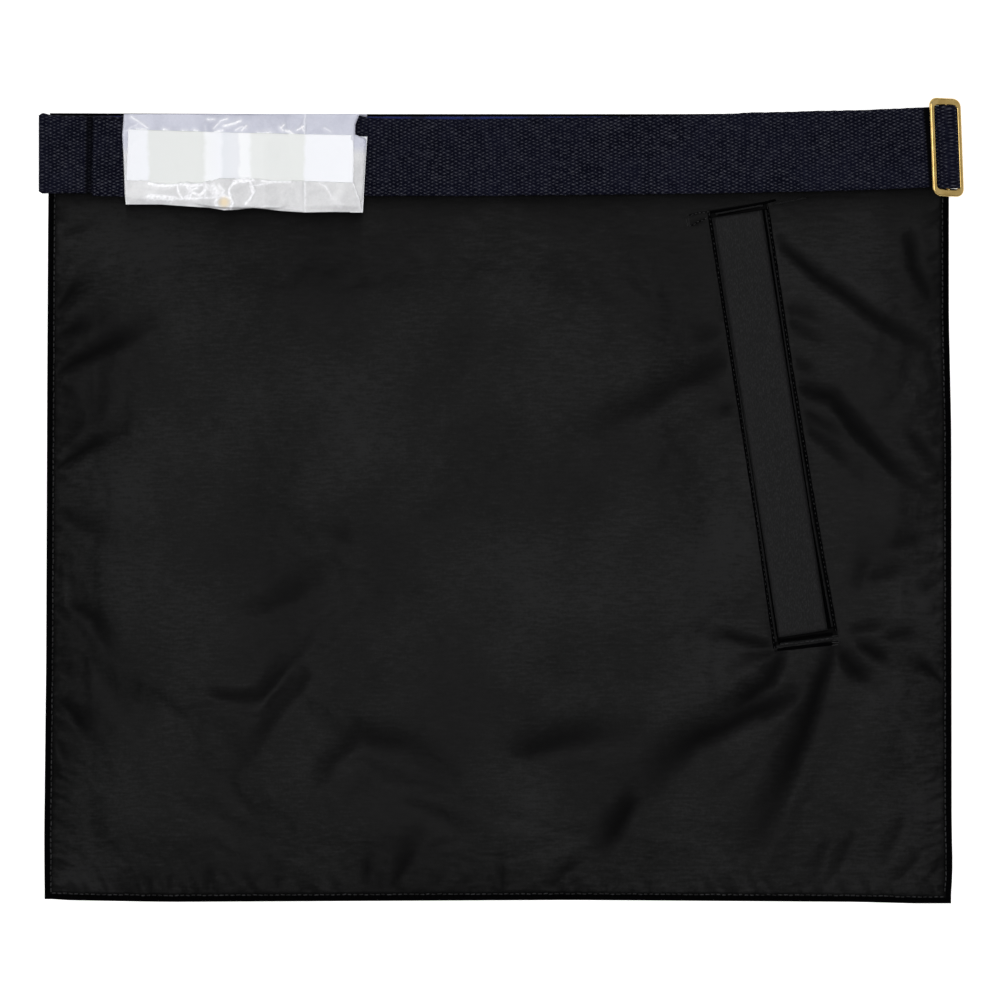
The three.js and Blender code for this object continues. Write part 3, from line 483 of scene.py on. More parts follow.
class Finish:
    """A material's nodes, made and linked in short calls."""

    def __init__(self, name):
        self.material = bpy.data.materials.new(name)
        self.material.use_nodes = True
        self.tree = self.material.node_tree
        self.shader = self.tree.nodes["Principled BSDF"]
        self.places = self.tree.nodes.new("ShaderNodeTexCoord")

    def node(self, kind, **settings):
        made = self.tree.nodes.new("ShaderNode" + kind)
        for key, value in settings.items():
            setattr(made, key, value)
        return made

    def link(self, output, target):
        self.tree.links.new(output, target)

    def stretched(self, scale, turn=0.0, source="Object"):
        mapping = self.node("Mapping")
        mapping.inputs["Scale"].default_value = scale
        mapping.inputs["Rotation"].default_value = (0, 0, turn)
        self.link(self.places.outputs[source], mapping.inputs["Vector"])
        return mapping.outputs["Vector"]

    def noise(self, size, detail=3.0, vector=None, roughness=0.5, distortion=0.0):
        made = self.node("TexNoise")
        made.inputs["Scale"].default_value = 1 / size
        made.inputs["Detail"].default_value = detail
        made.inputs["Roughness"].default_value = roughness
        made.inputs["Distortion"].default_value = distortion
        self.link(vector or self.places.outputs["Object"], made.inputs["Vector"])
        return made.outputs["Fac"]

    def wave(self, size, turn=0.0, distortion=0.0, source="Object"):
        made = self.node("TexWave", wave_type="BANDS", bands_direction="X", wave_profile="SIN")
        made.inputs["Scale"].default_value = 2 * math.pi / (20 * size)
        made.inputs["Distortion"].default_value = distortion
        made.inputs["Detail Scale"].default_value = 3
        self.link(self.stretched((1, 1, 1), turn, source), made.inputs["Vector"])
        return made.outputs["Fac"]

    def math(self, operation, first, second=0.0):
        made = self.node("Math", operation=operation)
        for socket, value in zip(made.inputs, (first, second)):
            if isinstance(value, (int, float)):
                socket.default_value = value
            else:
                self.link(value, socket)
        return made.outputs[0]

    def add(self, first, second):
        return self.math("ADD", first, second)

    def times(self, first, second):
        return self.math("MULTIPLY", first, second)

    def split(self, vector):
        made = self.node("SeparateXYZ")
        self.link(vector, made.inputs["Vector"])
        return made.outputs

    def ramp(self, source, *stops):
        made = self.node("ValToRGB")
        band = made.color_ramp
        band.elements[0].position, band.elements[0].color = stops[0][0], (*stops[0][1], 1)
        band.elements[1].position, band.elements[1].color = stops[-1][0], (*stops[-1][1], 1)
        for place, colour in stops[1:-1]:
            band.elements.new(place).color = (*colour, 1)
        self.link(source, made.inputs["Fac"])
        return made.outputs["Color"]

    def range(self, source, low, high, start=0.0, end=1.0):
        made = self.node("MapRange")
        for key, value in (("From Min", low), ("From Max", high), ("To Min", start), ("To Max", end)):
            made.inputs[key].default_value = value
        self.link(source, made.inputs["Value"])
        return made.outputs["Result"]

    def mix(self, factor, first, second, blend="MIX"):
        made = self.node("Mix", data_type="RGBA", blend_type=blend)
        for socket, value in ((made.inputs[0], factor), (made.inputs[6], first), (made.inputs[7], second)):
            if isinstance(value, bpy.types.NodeSocket):
                self.link(value, socket)
            elif isinstance(value, tuple):
                socket.default_value = (*value, 1)
            else:
                socket.default_value = value
        return made.outputs[2]

    def carried(self, name):
        """A value that the mesh carries for each of its vertices."""
        return self.node("Attribute", attribute_name=name).outputs["Fac"]

    def line(self, value, place, reach):
        """1 where a value is at a place, 0 from a reach away."""
        off = self.math("ABSOLUTE", self.math("SUBTRACT", value, place))
        return self.range(off, 0, reach, 1, 0)

    def within(self, value, low, high, blur):
        rising = self.range(value, low - blur, low)
        falling = self.range(value, high, high + blur, 1, 0)
        return self.times(rising, falling)

    def most(self, first, *others):
        for other in others:
            first = self.math("MAXIMUM", first, other)
        return first

    def bump(self, height, distance, strength=1.0, under=None):
        made = self.node("Bump")
        made.inputs["Distance"].default_value = distance
        made.inputs["Strength"].default_value = strength
        self.link(height, made.inputs["Height"])
        if under:
            self.link(under, made.inputs["Normal"])
        return made.outputs["Normal"]

    def set(self, **sockets):
        names = {
            "color": "Base Color", "roughness": "Roughness", "metallic": "Metallic", "normal": "Normal",
            "specular": "Specular IOR Level", "sheen": "Sheen Weight", "sheen_roughness": "Sheen Roughness",
            "coat": "Coat Weight", "coat_roughness": "Coat Roughness",
        }
        for key, value in sockets.items():
            socket = self.shader.inputs[names[key]]
            if isinstance(value, bpy.types.NodeSocket):
                self.link(value, socket)
            elif isinstance(value, tuple):
                socket.default_value = (*value, 1)
            else:
                socket.default_value = value
        return self.material


def lining_cloth():
    """Black satin weave, with painted shade in its seams, along its hem, inside the pocket's seams, in its
    folds' valleys, under the belt and in small puckers by the hem.
    """
    finish = Finish("lining_cloth")
    threads = finish.wave(0.36 * MM, turn=math.pi / 2, distortion=0.6)
    across = finish.wave(0.4 * MM, distortion=0.6)
    weave = finish.add(threads, finish.times(across, 0.5))
    slubs = finish.noise(1.0, 4, finish.stretched((170, 800, 170)))
    grain = finish.noise(1.3 * MM, 3, roughness=0.7)
    cloudy = finish.noise(70 * MM, 2)
    fibres = finish.add(finish.times(slubs, 0.3), finish.times(grain, 0.25))
    colour = finish.ramp(
        finish.add(fibres, finish.times(cloudy, 0.45)),
        (0.4, (0.0008, 0.0008, 0.0009)), (0.5, (0.0028, 0.0028, 0.0029)), (0.6, (0.0078, 0.0078, 0.0081)))
    inset, along = finish.carried("inset"), finish.carried("pocket_along")
    left, right = finish.carried("left_seam"), finish.carried("right_seam")
    beside = finish.within(along, -POCKET_SEAM_HALF, POCKET_SEAM_HALF, 1)
    between = finish.times(finish.within(left, 0, 60, 0.3), finish.within(right, -60, 0, 0.3))
    ends = finish.most(finish.line(along, TOP_SEAM, 0.8), finish.line(along, FOOT_SEAM, 0.8))
    seams = finish.most(finish.line(left, 0, 0.9), finish.line(right, 0, 0.9))
    groove = finish.most(
        finish.line(inset, HEM_WIDTH / MM, 1.1), finish.times(seams, beside),
        finish.times(ends, between))
    # Painted shade in small puckers near the hem
    gathers = finish.range(finish.noise(4 * MM, 2, distortion=0.4), 0.47, 0.57)
    puckers = finish.times(gathers, finish.range(inset, HEM_WIDTH / MM, 6, 0.6, 0))
    # Painted shade: seam grooves, the hem's rim, the pocket's inside, the fold valleys and shadow under the
    # belt that the mesh carries, and the puckers
    shade = finish.most(
        groove, finish.range(inset, 1.6, HEM_WIDTH / MM, 0.9, 0), finish.times(between, beside),
        finish.times(finish.carried("valley"), 0.95), puckers)
    shaded = finish.mix(shade, colour, (0.0004, 0.0004, 0.0005))
    satin = finish.range(finish.noise(25 * MM, 3), 0.3, 0.7, 0.33, 0.39)
    rough = finish.add(satin, finish.times(shade, 0.4))
    fine = finish.bump(finish.add(weave, finish.times(slubs, 2)), 0.03 * MM, 0.6)
    crumple = finish.bump(finish.noise(7 * MM, 4, distortion=0.6), 0.5 * MM, 0.4, fine)
    sewn = finish.bump(finish.times(groove, -1), 0.4 * MM, 0.8, crumple)
    return finish.set(
        color=shaded, roughness=rough, specular=0.055, sheen=0.01, sheen_roughness=0.4, normal=sewn)


def seam_shade_cloth():
    """The same cloth pressed flat and dull in a seam, darkened to near black as painted shade in the hem and
    the pocket's seams.
    """
    finish = Finish("seam_shade_cloth")
    grain = finish.noise(0.6 * MM, 3)
    colour = finish.ramp(grain, (0.3, (0.0004, 0.0004, 0.0005)), (0.75, (0.0018, 0.0018, 0.002)))
    return finish.set(color=colour, roughness=0.95, specular=0.0, normal=finish.bump(grain, 0.05 * MM, 0.6))


def welt_cloth():
    finish = Finish("welt_cloth")
    threads = finish.wave(0.42 * MM, turn=math.pi / 2 + POCKET_SLANT, distortion=0.8)
    grain = finish.noise(1.0, 3, finish.stretched((1900, 700, 900)), roughness=0.7)
    colour = finish.ramp(
        grain, (0.32, (0.003, 0.003, 0.0034)), (0.5, (0.0056, 0.0056, 0.006)), (0.68, (0.014, 0.014, 0.0145)))
    normal = finish.bump(finish.add(threads, grain), 0.05 * MM, 0.7)
    return finish.set(color=colour, roughness=0.55, specular=0.09, sheen=0.01, normal=normal)


def thread(name, colour):
    finish = Finish(name)
    twist = finish.wave(0.35 * MM, turn=0.7)
    worn = finish.range(finish.noise(3.5 * MM, 2), 0.42, 0.56)
    twisted = finish.mix(twist, tuple(c * 0.6 for c in colour), colour)
    shaded = finish.mix(worn, tuple(c * 0.2 for c in colour), twisted)
    return finish.set(color=shaded, roughness=0.6, specular=0.25, normal=finish.bump(twist, 0.05 * MM))


def webbing():
    """Dyed cotton: light knots in staggered columns, dark between them."""
    finish = Finish("webbing")
    moved = finish.node("VectorMath", operation="MULTIPLY_ADD")
    jitter = finish.node("TexNoise")
    jitter.inputs["Scale"].default_value = 0.35
    jitter.inputs["Detail"].default_value = 3
    finish.link(finish.places.outputs["UV"], jitter.inputs["Vector"])
    finish.link(jitter.outputs["Color"], moved.inputs[0])
    moved.inputs[1].default_value = (1.8, 1.8, 0)
    finish.link(finish.places.outputs["UV"], moved.inputs[2])
    axes = finish.split(moved.outputs[0])
    columns = finish.math("COSINE", finish.times(axes["X"], math.pi * MM / KNOT_COLUMN))
    rows = finish.math("COSINE", finish.times(axes["Y"], 2 * math.pi * MM / KNOT_PITCH))
    knots = finish.times(finish.times(columns, finish.math("ABSOLUTE", columns)), rows)
    fibres = finish.noise(0.5 * MM, 3, roughness=0.7)
    patches = finish.noise(2.4 * MM, 2)
    worn = finish.noise(14 * MM, 3)
    uneven = finish.add(finish.times(patches, 1.2), finish.times(fibres, 0.7))
    height = finish.add(knots, finish.math("SUBTRACT", uneven, 0.95))
    colour = finish.ramp(
        finish.range(height, -1, 1), (0.4, (0.0014, 0.0016, 0.005)), (0.55, (0.006, 0.0064, 0.0125)),
        (0.75, (0.021, 0.0215, 0.03)), (1.0, (0.046, 0.047, 0.058)))
    faded = finish.mix(finish.range(worn, 0.4, 0.75, 0, 0.3), colour, (0.008, 0.0085, 0.02))
    shaded = finish.mix(finish.carried("shade"), faded, (0.0006, 0.0006, 0.001))
    normal = finish.bump(height, 0.12 * MM, 0.7)
    return finish.set(color=shaded, roughness=0.95, specular=0.04, normal=normal)


def ribbon_satin():
    finish = Finish("ribbon")
    ribs = finish.wave(0.7 * MM, distortion=0.2)
    bright = finish.mix(ribs, (0.007, 0.012, 0.07), (0.014, 0.024, 0.14))
    patches = finish.range(finish.noise(14 * MM, 3), 0.4, 0.6)
    colour = finish.mix(patches, (0.005, 0.006, 0.028), bright)
    return finish.set(color=colour, roughness=0.5, specular=0.12, normal=finish.bump(ribs, 0.1 * MM))


def brass():
    finish = Finish("brass")
    patina = finish.noise(5 * MM, 5, roughness=0.6)
    scratches = finish.noise(1.0, 3, finish.stretched((2500, 160, 2500)))
    colour = finish.ramp(
        patina, (0.3, (0.42, 0.28, 0.09)), (0.55, (0.54, 0.38, 0.14)), (0.75, (0.64, 0.47, 0.20)))
    dulled = finish.add(patina, finish.times(scratches, 0.5))
    rough = finish.range(dulled, 0.4, 1.1, 0.14, 0.26)
    normal = finish.bump(scratches, 0.004 * MM, 0.3)
    return finish.set(color=colour, metallic=1.0, roughness=rough, normal=normal)


def film():
    """Milky film, whiter where the mesh carries a crease (whitened creases and scuffs, and painted highlights
    on crease ridges and edges), with one yellowish spot.
    """
    finish = Finish("film")
    haze = finish.noise(14 * MM, 4, distortion=0.8)
    specks = finish.noise(1.2 * MM, 3, roughness=0.7)
    mottled = finish.add(finish.times(haze, 0.7), finish.times(specks, 0.3))
    axes = finish.split(finish.places.outputs["Object"])
    fold = photo_place(240, 155).y
    low = finish.ramp(mottled, (0.35, (0.50, 0.50, 0.515)), (0.65, (0.66, 0.66, 0.67)))
    high = finish.ramp(mottled, (0.35, (0.42, 0.43, 0.52)), (0.65, (0.52, 0.53, 0.62)))
    base = finish.mix(finish.range(axes["Y"], fold, fold + 4 * MM), low, high)
    # Whitening of creases and scuffs, partly painted highlight
    creased = finish.mix(finish.carried("crease"), base, (0.92, 0.92, 0.95))
    spot = photo_place(*YELLOW_SPOT)
    away_x, away_y = (
        finish.math("POWER", finish.math("ABSOLUTE", finish.math("SUBTRACT", axes[name], middle)), 2)
        for name, middle in zip("XY", spot))
    away = finish.math("POWER", finish.add(away_x, away_y), 0.5)
    stain = finish.range(away, 0.8 * MM, 3.2 * MM, 0.9, 0.0)
    colour = finish.mix(stain, creased, (0.72, 0.58, 0.36))
    normal = finish.bump(finish.noise(2.5 * MM, 3, distortion=1.2), 0.25 * MM, 0.4)
    return finish.set(
        color=colour, roughness=0.35, specular=0.4, coat=0.15, coat_roughness=0.2, normal=normal)


def strip_paper():
    """Near white, with greyer stretches where the film lies close on it."""
    finish = Finish("strip_paper")
    grain = finish.noise(1.5 * MM, 4)
    axes = finish.split(finish.places.outputs["Object"])
    wobble = finish.times(finish.math("SUBTRACT", finish.noise(5 * MM, 3), 0.5), 3 * MM)
    moved = finish.add(axes["X"], wobble)
    low, high = photo_place(STRIP_TONES[0][0], 0).x, photo_place(STRIP_TONES[-1][0], 0).x
    stops = [((photo_place(column, 0).x - low) / (high - low), tone) for column, tone in STRIP_TONES]
    colour = finish.ramp(finish.range(moved, low, high), *stops)
    return finish.set(color=colour, roughness=0.65, specular=0.2, normal=finish.bump(grain, 0.05 * MM, 0.4))


def leather():
    finish = Finish("leather")
    cells = finish.node("TexVoronoi", feature="DISTANCE_TO_EDGE")
    cells.inputs["Scale"].default_value = 1 / (1.1 * MM)
    finish.link(finish.stretched((1, 1, 1)), cells.inputs["Vector"])
    grain = finish.range(cells.outputs["Distance"], 0.0, 0.25)
    cloud = finish.noise(40 * MM, 4)
    colour = finish.ramp(cloud, (0.3, (0.70, 0.67, 0.61)), (0.7, (0.80, 0.775, 0.725)))
    shaded = finish.mix(grain, (0.55, 0.52, 0.46), colour)
    normal = finish.bump(grain, 0.08 * MM, 0.6, finish.bump(finish.noise(3 * MM, 4), 0.15 * MM, 0.5))
    return finish.set(color=shaded, roughness=0.55, specular=0.4, normal=normal)


def paper_floor():
    """White table, lit a little from below so that it stays white beside the apron."""
    finish = Finish("floor")
    finish.shader.inputs["Emission Color"].default_value = (1, 1, 1, 1)
    finish.shader.inputs["Emission Strength"].default_value = 0.6
    return finish.set(color=(0.9, 0.9, 0.9), roughness=0.9, specular=0.1)


# Lining

LINING_ROWS = 320
LINING_COLUMNS = 280
CLOTH_COARSENESS = 2
EDGE_CROWDING = 0.42
EDGE_REACH = 10 * MM
CORNER_ROOM = 4 * MM
FOLD_DEPTH = 1.2
RIDGE_SHARE = 0.5
SETTLED_SHARE = 0.4
PAD_RISE = 2.6 * MM
PAD_REACH = 20 * MM
BAND_DROP = 3 * MM
BAND_FADE = 46 * MM
BED_FADE = 42 * MM
BELT_SHADE_REACH = 6.5 * MM
GATHER_PITCH = 3.4 * MM
GATHER_LENGTH = 14 * MM
GATHER_REACH = 6 * MM
GATHER_DEPTH = 0.9 * MM
PUCKER_RISE = 0.22 * MM
HEM_SINK = 0.35 * MM
RIM_DROP = 0.5 * MM
SEAM_SINK = 0.3 * MM
CLOTH_STEPS = 16

# Distances of the pocket's end seams from its middle and the half length of its side seams, in mm
TOP_SEAM = -98.4
FOOT_SEAM = 101.3
POCKET_SEAM_HALF = 98.5


def distance_to_line(places, line):
    """Distance of each place to a line of points, its share of the way, and 1 above the line or -1."""
    nearest = np.full(len(places), 1e9)
    share = np.zeros(len(places))
    upper = np.ones(len(places))
    lengths = [(b - a).length for a, b in zip(line, line[1:])]
    total = sum(lengths)
    done = 0.0
    for a, b, length in zip(line, line[1:], lengths):
        start, way = np.array(a), np.array(b - a)
        offset = places - start
        along = np.clip((offset @ way) / (length * length), 0, 1)
        away = np.hypot(*(offset - along[:, None] * way).T)
        closer = away < nearest
        nearest[closer] = away[closer]
        share[closer] = (done + along[closer] * length) / total
        above = way[0] * offset[closer, 1] - way[1] * offset[closer, 0]
        upper[closer] = np.sign(above * way[0])
        done += length
    return nearest, share, upper


def fold_heights(places, inset):
    """Creases, easy on the upper side and steep below, shallower inwards and narrower at the hem, and the
    shade painted into their valleys.
    """
    moved = places + wander_at(places, 14 * MM, 0.3) * 1.1 * MM
    narrow = 0.45 + 0.43 * ease(inset, HEM_WIDTH, 18 * MM)
    height, valley = np.zeros(len(places)), np.zeros(len(places))
    for points, reach, rise in FOLDS:
        away, share, upper = distance_to_line(moved, photo_line(points))
        width = reach * MM * narrow * (0.75 + 0.5 * share) * np.where(upper > 0, 1.35, 0.7)
        taper = ease(share, -0.25, 0.15) * (1 - 0.75 * ease(share, 0.5, 1.0))
        crease = np.exp(-((away / width) ** 2))
        shoulder = np.exp(-(((away - 2.1 * width) / (1.1 * width)) ** 2))
        # A valley's depth is also painted into the cloth's colour as shade
        if rise < 0:
            valley = np.maximum(valley, crease * taper * min(-1.2 * rise, 1))
        else:
            rise *= RIDGE_SHARE
        height += FOLD_DEPTH * rise * MM * taper * (crease - 0.12 * shoulder)
    for column, row, radius, rise in SWELLS:
        away = np.hypot(*(moved - np.array(photo_place(column, row))).T)
        height += rise * MM * np.exp(-((away / (radius * MM)) ** 2))
    ripples = 0.7 * noise_at(places * (0.8, 1), 30 * MM, 2.5) + 0.14 * noise_at(places, 9 * MM, 9)
    return height + ripples * MM, valley


def outline_of_lining():
    """The lining's four edges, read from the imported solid."""
    probe = Probe(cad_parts["back_lining"])
    low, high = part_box("back_lining")
    level = LINING_FLOOR + LINING_WALL / 4
    far = 20 * MM
    ys = np.linspace(low.y + CORNER_ROOM, high.y - CORNER_ROOM, 60)
    xs = np.linspace(low.x + CORNER_ROOM, high.x - CORNER_ROOM, 60)
    left = [probe.edge((low.x - far, y, level), (1, 0, 0)).x for y in ys]
    right = [probe.edge((high.x + far, y, level), (-1, 0, 0)).x for y in ys]
    bottom = [probe.edge((x, low.y - far, level), (0, 1, 0)).y for x in xs]
    top = [probe.edge((x, high.y + far, level), (0, -1, 0)).y for x in xs]
    return {"xs": xs, "ys": ys, "left": left, "right": right, "bottom": bottom, "top": top}


def inset_of(places, edges):
    """Distance of each place in from the nearest edge."""
    x, y = places.T
    return np.minimum.reduce([
        x - np.interp(y, edges["ys"], edges["left"]), np.interp(y, edges["ys"], edges["right"]) - x,
        y - np.interp(x, edges["xs"], edges["bottom"]), np.interp(x, edges["xs"], edges["top"]) - y])


def pocket_frame(places):
    """Distance of each place down the pocket from its middle, and across it."""
    offset = places - np.array(POCKET_MIDDLE)
    down = np.array([math.sin(POCKET_SLANT), -math.cos(POCKET_SLANT)])
    side = np.array([math.cos(POCKET_SLANT), math.sin(POCKET_SLANT)])
    return offset @ down, offset @ side


def freedom(places, inset):
    """How far the padding, the pocket's bed and the folds are free: 0 at hem, belt or bed, 1 away from it."""
    padded = 1 - np.exp(-np.maximum(inset - HEM_WIDTH, 0) / PAD_REACH)
    band_edge = np.array([belt_middle(x) for x in places[:, 0]]) - STRAP_WIDTH / 2 - BAND_DROP
    clear = ease(band_edge - places[:, 1], 0, BAND_FADE)
    along, across = pocket_frame(places)
    past_end = np.maximum(np.abs(along) - POCKET_LENGTH / 2, 0)
    past_side = np.maximum(np.abs(across) - POCKET_FIELD / 2, 0)
    past = np.hypot(past_end, past_side)
    return padded * clear, ease(past, 0, BED_FADE), ease(past, 0, 4 * MM)


def run_cloth(piece, held):
    """Lets the cloth grow a little between its seams, so it buckles along its folds as quilting does."""
    group = piece.vertex_groups.new(name="sewn")
    for index, weight in enumerate(held):
        if weight > 0:
            group.add([index], float(weight), "REPLACE")
    cloth = piece.modifiers.new("cloth", "CLOTH")
    settings = cloth.settings
    settings.quality = 5
    settings.mass = 0.15
    settings.tension_stiffness = settings.compression_stiffness = 12
    settings.shear_stiffness = 4
    settings.bending_stiffness = 0.15
    settings.vertex_group_mass = group.name
    settings.shrink_min = settings.shrink_max = -0.008
    settings.use_pressure = True
    settings.uniform_pressure_force = 0.4
    settings.effector_weights.gravity = 0
    cloth.collision_settings.use_collision = False
    cloth.point_cache.frame_end = CLOTH_STEPS
    for step in range(1, CLOTH_STEPS + 1):
        scene.frame_set(step)
    ready = piece.evaluated_get(bpy.context.evaluated_depsgraph_get())
    points = np.array([v.co[:] for v in ready.data.vertices])
    piece.modifiers.remove(cloth)
    piece.vertex_groups.remove(group)
    scene.frame_set(1)
    return points


def crowded(share):
    """Draws grid lines closer together near both ends."""
    return share - EDGE_CROWDING * np.sin(2 * math.pi * share) / (2 * math.pi)


def covered_edge(xs):
    """Lower edge of what lies on the lining at the top: the belt, or the wrapper where it hangs lower."""
    belt = np.array([belt_middle(x) for x in xs]) - STRAP_WIDTH / 2
    return np.minimum(belt, np.interp(xs, *photo_array(LEAF_FOOT).T, left=1, right=1))


def hem_gathers(places, inset):
    """Depth of the small creases that run inwards from the hem's stitches."""
    far_out = np.abs(places) - np.array([APRON_WIDTH, APRON_HEIGHT]) / 2
    run = np.where(far_out[:, 0] > far_out[:, 1], places[:, 1], places[:, 0]) + 0.5 * inset
    upright = np.abs(places[:, 0]) / APRON_WIDTH > np.abs(places[:, 1]) / APRON_HEIGHT
    depth = np.array([
        noise.noise(Vector((r / GATHER_PITCH, d / GATHER_LENGTH, 3.0 + side)))
        + 0.5 * noise.noise(Vector((r / GATHER_LENGTH, d / GATHER_LENGTH, 8.0 + side)))
        for r, d, side in zip(run, inset, upright)])
    return ease(depth, 0.0, 0.3) * np.exp(-np.maximum(inset - HEM_WIDTH, 0) / GATHER_REACH)


def laid_lining(unit, edges):
    """Where the sewn lining lies before it settles, its inset, how free each place is to move, and the shade
    painted into its valleys, its gathers and under the belt.
    """
    across, up = crowded(unit[:, 0]), crowded(unit[:, 1])
    y = (up - 0.5) * APRON_HEIGHT
    left, right = np.interp(y, edges["ys"], edges["left"]), np.interp(y, edges["ys"], edges["right"])
    x = left + across * (right - left)
    bottom, top = np.interp(x, edges["xs"], edges["bottom"]), np.interp(x, edges["xs"], edges["top"])
    places = np.stack([x, bottom + up * (top - bottom)], axis=1)
    inset = inset_of(places, edges)
    field, beside, folded = freedom(places, inset)
    near_edge = np.exp(-np.maximum(inset, 0) / EDGE_REACH)
    folds, valley = fold_heights(places, inset)
    valley *= folded * ease(field, 0, 0.1)
    gathers = hem_gathers(places, inset)
    folds = (folds - GATHER_DEPTH * gathers) * ease(inset, HEM_WIDTH * 0.8, HEM_WIDTH * 1.6)
    # Painted shade in the gathers by the hem
    valley = np.maximum(valley, 0.9 * gathers) * ease(inset, HEM_WIDTH * 0.8, HEM_WIDTH * 1.2)
    near_belt = np.maximum(field, 0.6 * np.sign(field))
    height = PAD_RISE * field * beside + BED_RISE * (1 - beside)
    height += folds * (1 + 0.5 * near_edge) * near_belt * folded
    # Painted shadow on the lining below the belt's lower edge and below the wrapper's foot
    below = covered_edge(places[:, 0]) - places[:, 1]
    valley = np.maximum(valley, 0.9 * np.exp(-np.maximum(below, 0) / BELT_SHADE_REACH))
    points = np.column_stack([places, BAND_TOP + np.maximum(height, 0)])
    return points, inset, field * beside, valley


def settled_shift(edges):
    """Runs the cloth on a coarser grid and gives its small moves as a function of the grid's shares."""
    columns, rows = LINING_COLUMNS // CLOTH_COARSENESS, LINING_ROWS // CLOTH_COARSENESS
    shape, unit = unit_grid(columns, rows)
    start, _, free, _ = laid_lining(unit, edges)
    place_vertices(shape, start)
    piece = new_object("settling", shape)
    moved = run_cloth(piece, np.clip(1 - free * 1.6, 0, 1))
    bpy.data.objects.remove(piece)
    shift = moved - start
    shift[:, :2] = np.clip(shift[:, :2], -0.8 * MM, 0.8 * MM)
    shift[:, 2] = np.clip(shift[:, 2], -1.6 * MM, 1.8 * MM)
    table = np.zeros((columns + 1, rows + 1, 3))
    cells = np.round(unit * (columns, rows)).astype(int)
    table[cells[:, 0], cells[:, 1]] = shift

    def sampled(shares):
        at = shares * (columns, rows)
        i, j = np.minimum(at.astype(int), (columns - 1, rows - 1)).T
        s, t = (at - np.stack([i, j], axis=1)).T[:, :, None]
        left = table[i, j] * (1 - t) + table[i, j + 1] * t
        right = table[i + 1, j] * (1 - t) + table[i + 1, j + 1] * t
        return left * (1 - s) + right * s

    return sampled


def make_lining(edges):
    """The padded lining, settled and sewn, with the pressed cloth of its hem in a near-black finish of its
    own that paints the hem's shade.
    """
    shape, unit = unit_grid(LINING_COLUMNS, LINING_ROWS)
    points, inset, free, valley = laid_lining(unit, edges)
    points += settled_shift(edges)(unit) * SETTLED_SHARE * free[:, None]
    finish_lining(shape, points, inset, valley)
    insets = shape.verts.layers.float["inset"]
    hem = []
    for face in shape.faces:
        middle = sum(vertex[insets] for vertex in face.verts) / len(face.verts)
        hem.append(int(middle < HEM_WIDTH / MM - 0.4))
    piece = new_object("lining", shape)
    finish_piece(piece, lining_cloth(), "lining_cloth", "back_lining")
    piece.data.materials.append(seam_shade_cloth())
    piece.data.polygons.foreach_set("material_index", hem)
    return piece


# The pocket's seams and lips in the photo's pixels
POCKET_LINES = {
    "left_outer": [(709, 212), (733, 366), (757, 520), (775.2, 650)],
    "left_inner": [(715.6, 217), (738, 366), (760, 520), (780.2, 645)],
    "mouth": [(762.7, 208), (786, 366), (809, 520), (830.6, 630)],
    "right_outer": [(767, 206), (791, 366), (816.5, 520), (836, 632)],
    "top": [(709, 212.5), (737, 208), (764.4, 203), (777, 199.5)],
    "top_inner": [(716.7, 215), (738, 210.5), (760, 205.6)],
    "bottom": [(780, 640.8), (806, 637.4), (834, 633.6)],
    "bottom_inner": [(776, 649.6), (806, 646.6), (834, 643.2)],
    "tail_upper": [(710, 211.4), (698, 213), (686, 216)],
    "tail_lower": [(708, 217.5), (699, 221.5), (689, 227)],
    "top_ridge": [(771, 204.4), (787, 201.6), (808, 197.4)],
    "right_lip": [(765.4, 209), (788.6, 366), (812.6, 520), (832.4, 628)],
    "left_lip": [(712.6, 217), (735.6, 366), (758.5, 520), (776.4, 643)],
    "top_lip": [(714, 214.2), (738, 209.8), (764, 205)],
    "foot_lip": [(779, 644.9), (806, 641.8), (835, 638)],
}
# Half the width of each dark band of painted shade along a pressed seam, and of each raised lip
SEAM_SHADE_BANDS = [
    ("left_outer", 0.8 * MM), ("right_outer", 0.8 * MM), ("mouth", 1 * MM), ("top", 0.6 * MM),
    ("top_inner", 0.6 * MM), ("bottom", 0.75 * MM), ("bottom_inner", 0.8 * MM), ("left_inner", 0.7 * MM),
    ("tail_upper", 0.3 * MM), ("tail_lower", 0.3 * MM),
]
POCKET_LIPS = [
    ("right_lip", 0.42 * MM), ("left_lip", 0.42 * MM), ("top_lip", 0.45 * MM), ("foot_lip", 0.8 * MM),
    ("top_ridge", 0.4 * MM),
]
# Rows of close stitches at the foot's right end and across the tail at the top
BAR_TACKS = [
    [(831, 636.4), (839, 635.4)], [(831.4, 638.6), (839.6, 637.6)], [(831.8, 640.8), (839.4, 639.8)],
    [(832, 643), (839, 642)], [(832, 645.2), (838.4, 644.4)], [(688, 217), (689.4, 225.6)],
    [(686, 218.4), (687.2, 226)],
]


def carry(shape, **values):
    """Gives each vertex values that a material reads."""
    for name, numbers in values.items():
        layer = shape.verts.layers.float.new(name)
        for vertex, number in zip(shape.verts, numbers):
            vertex[layer] = number


def seam_offset(along, across, name):
    """How far each place lies to the right of a side seam of the pocket."""
    seam_along, seam_across = pocket_frame(photo_array(POCKET_LINES[name]))
    return across - np.interp(along, seam_along, seam_across)


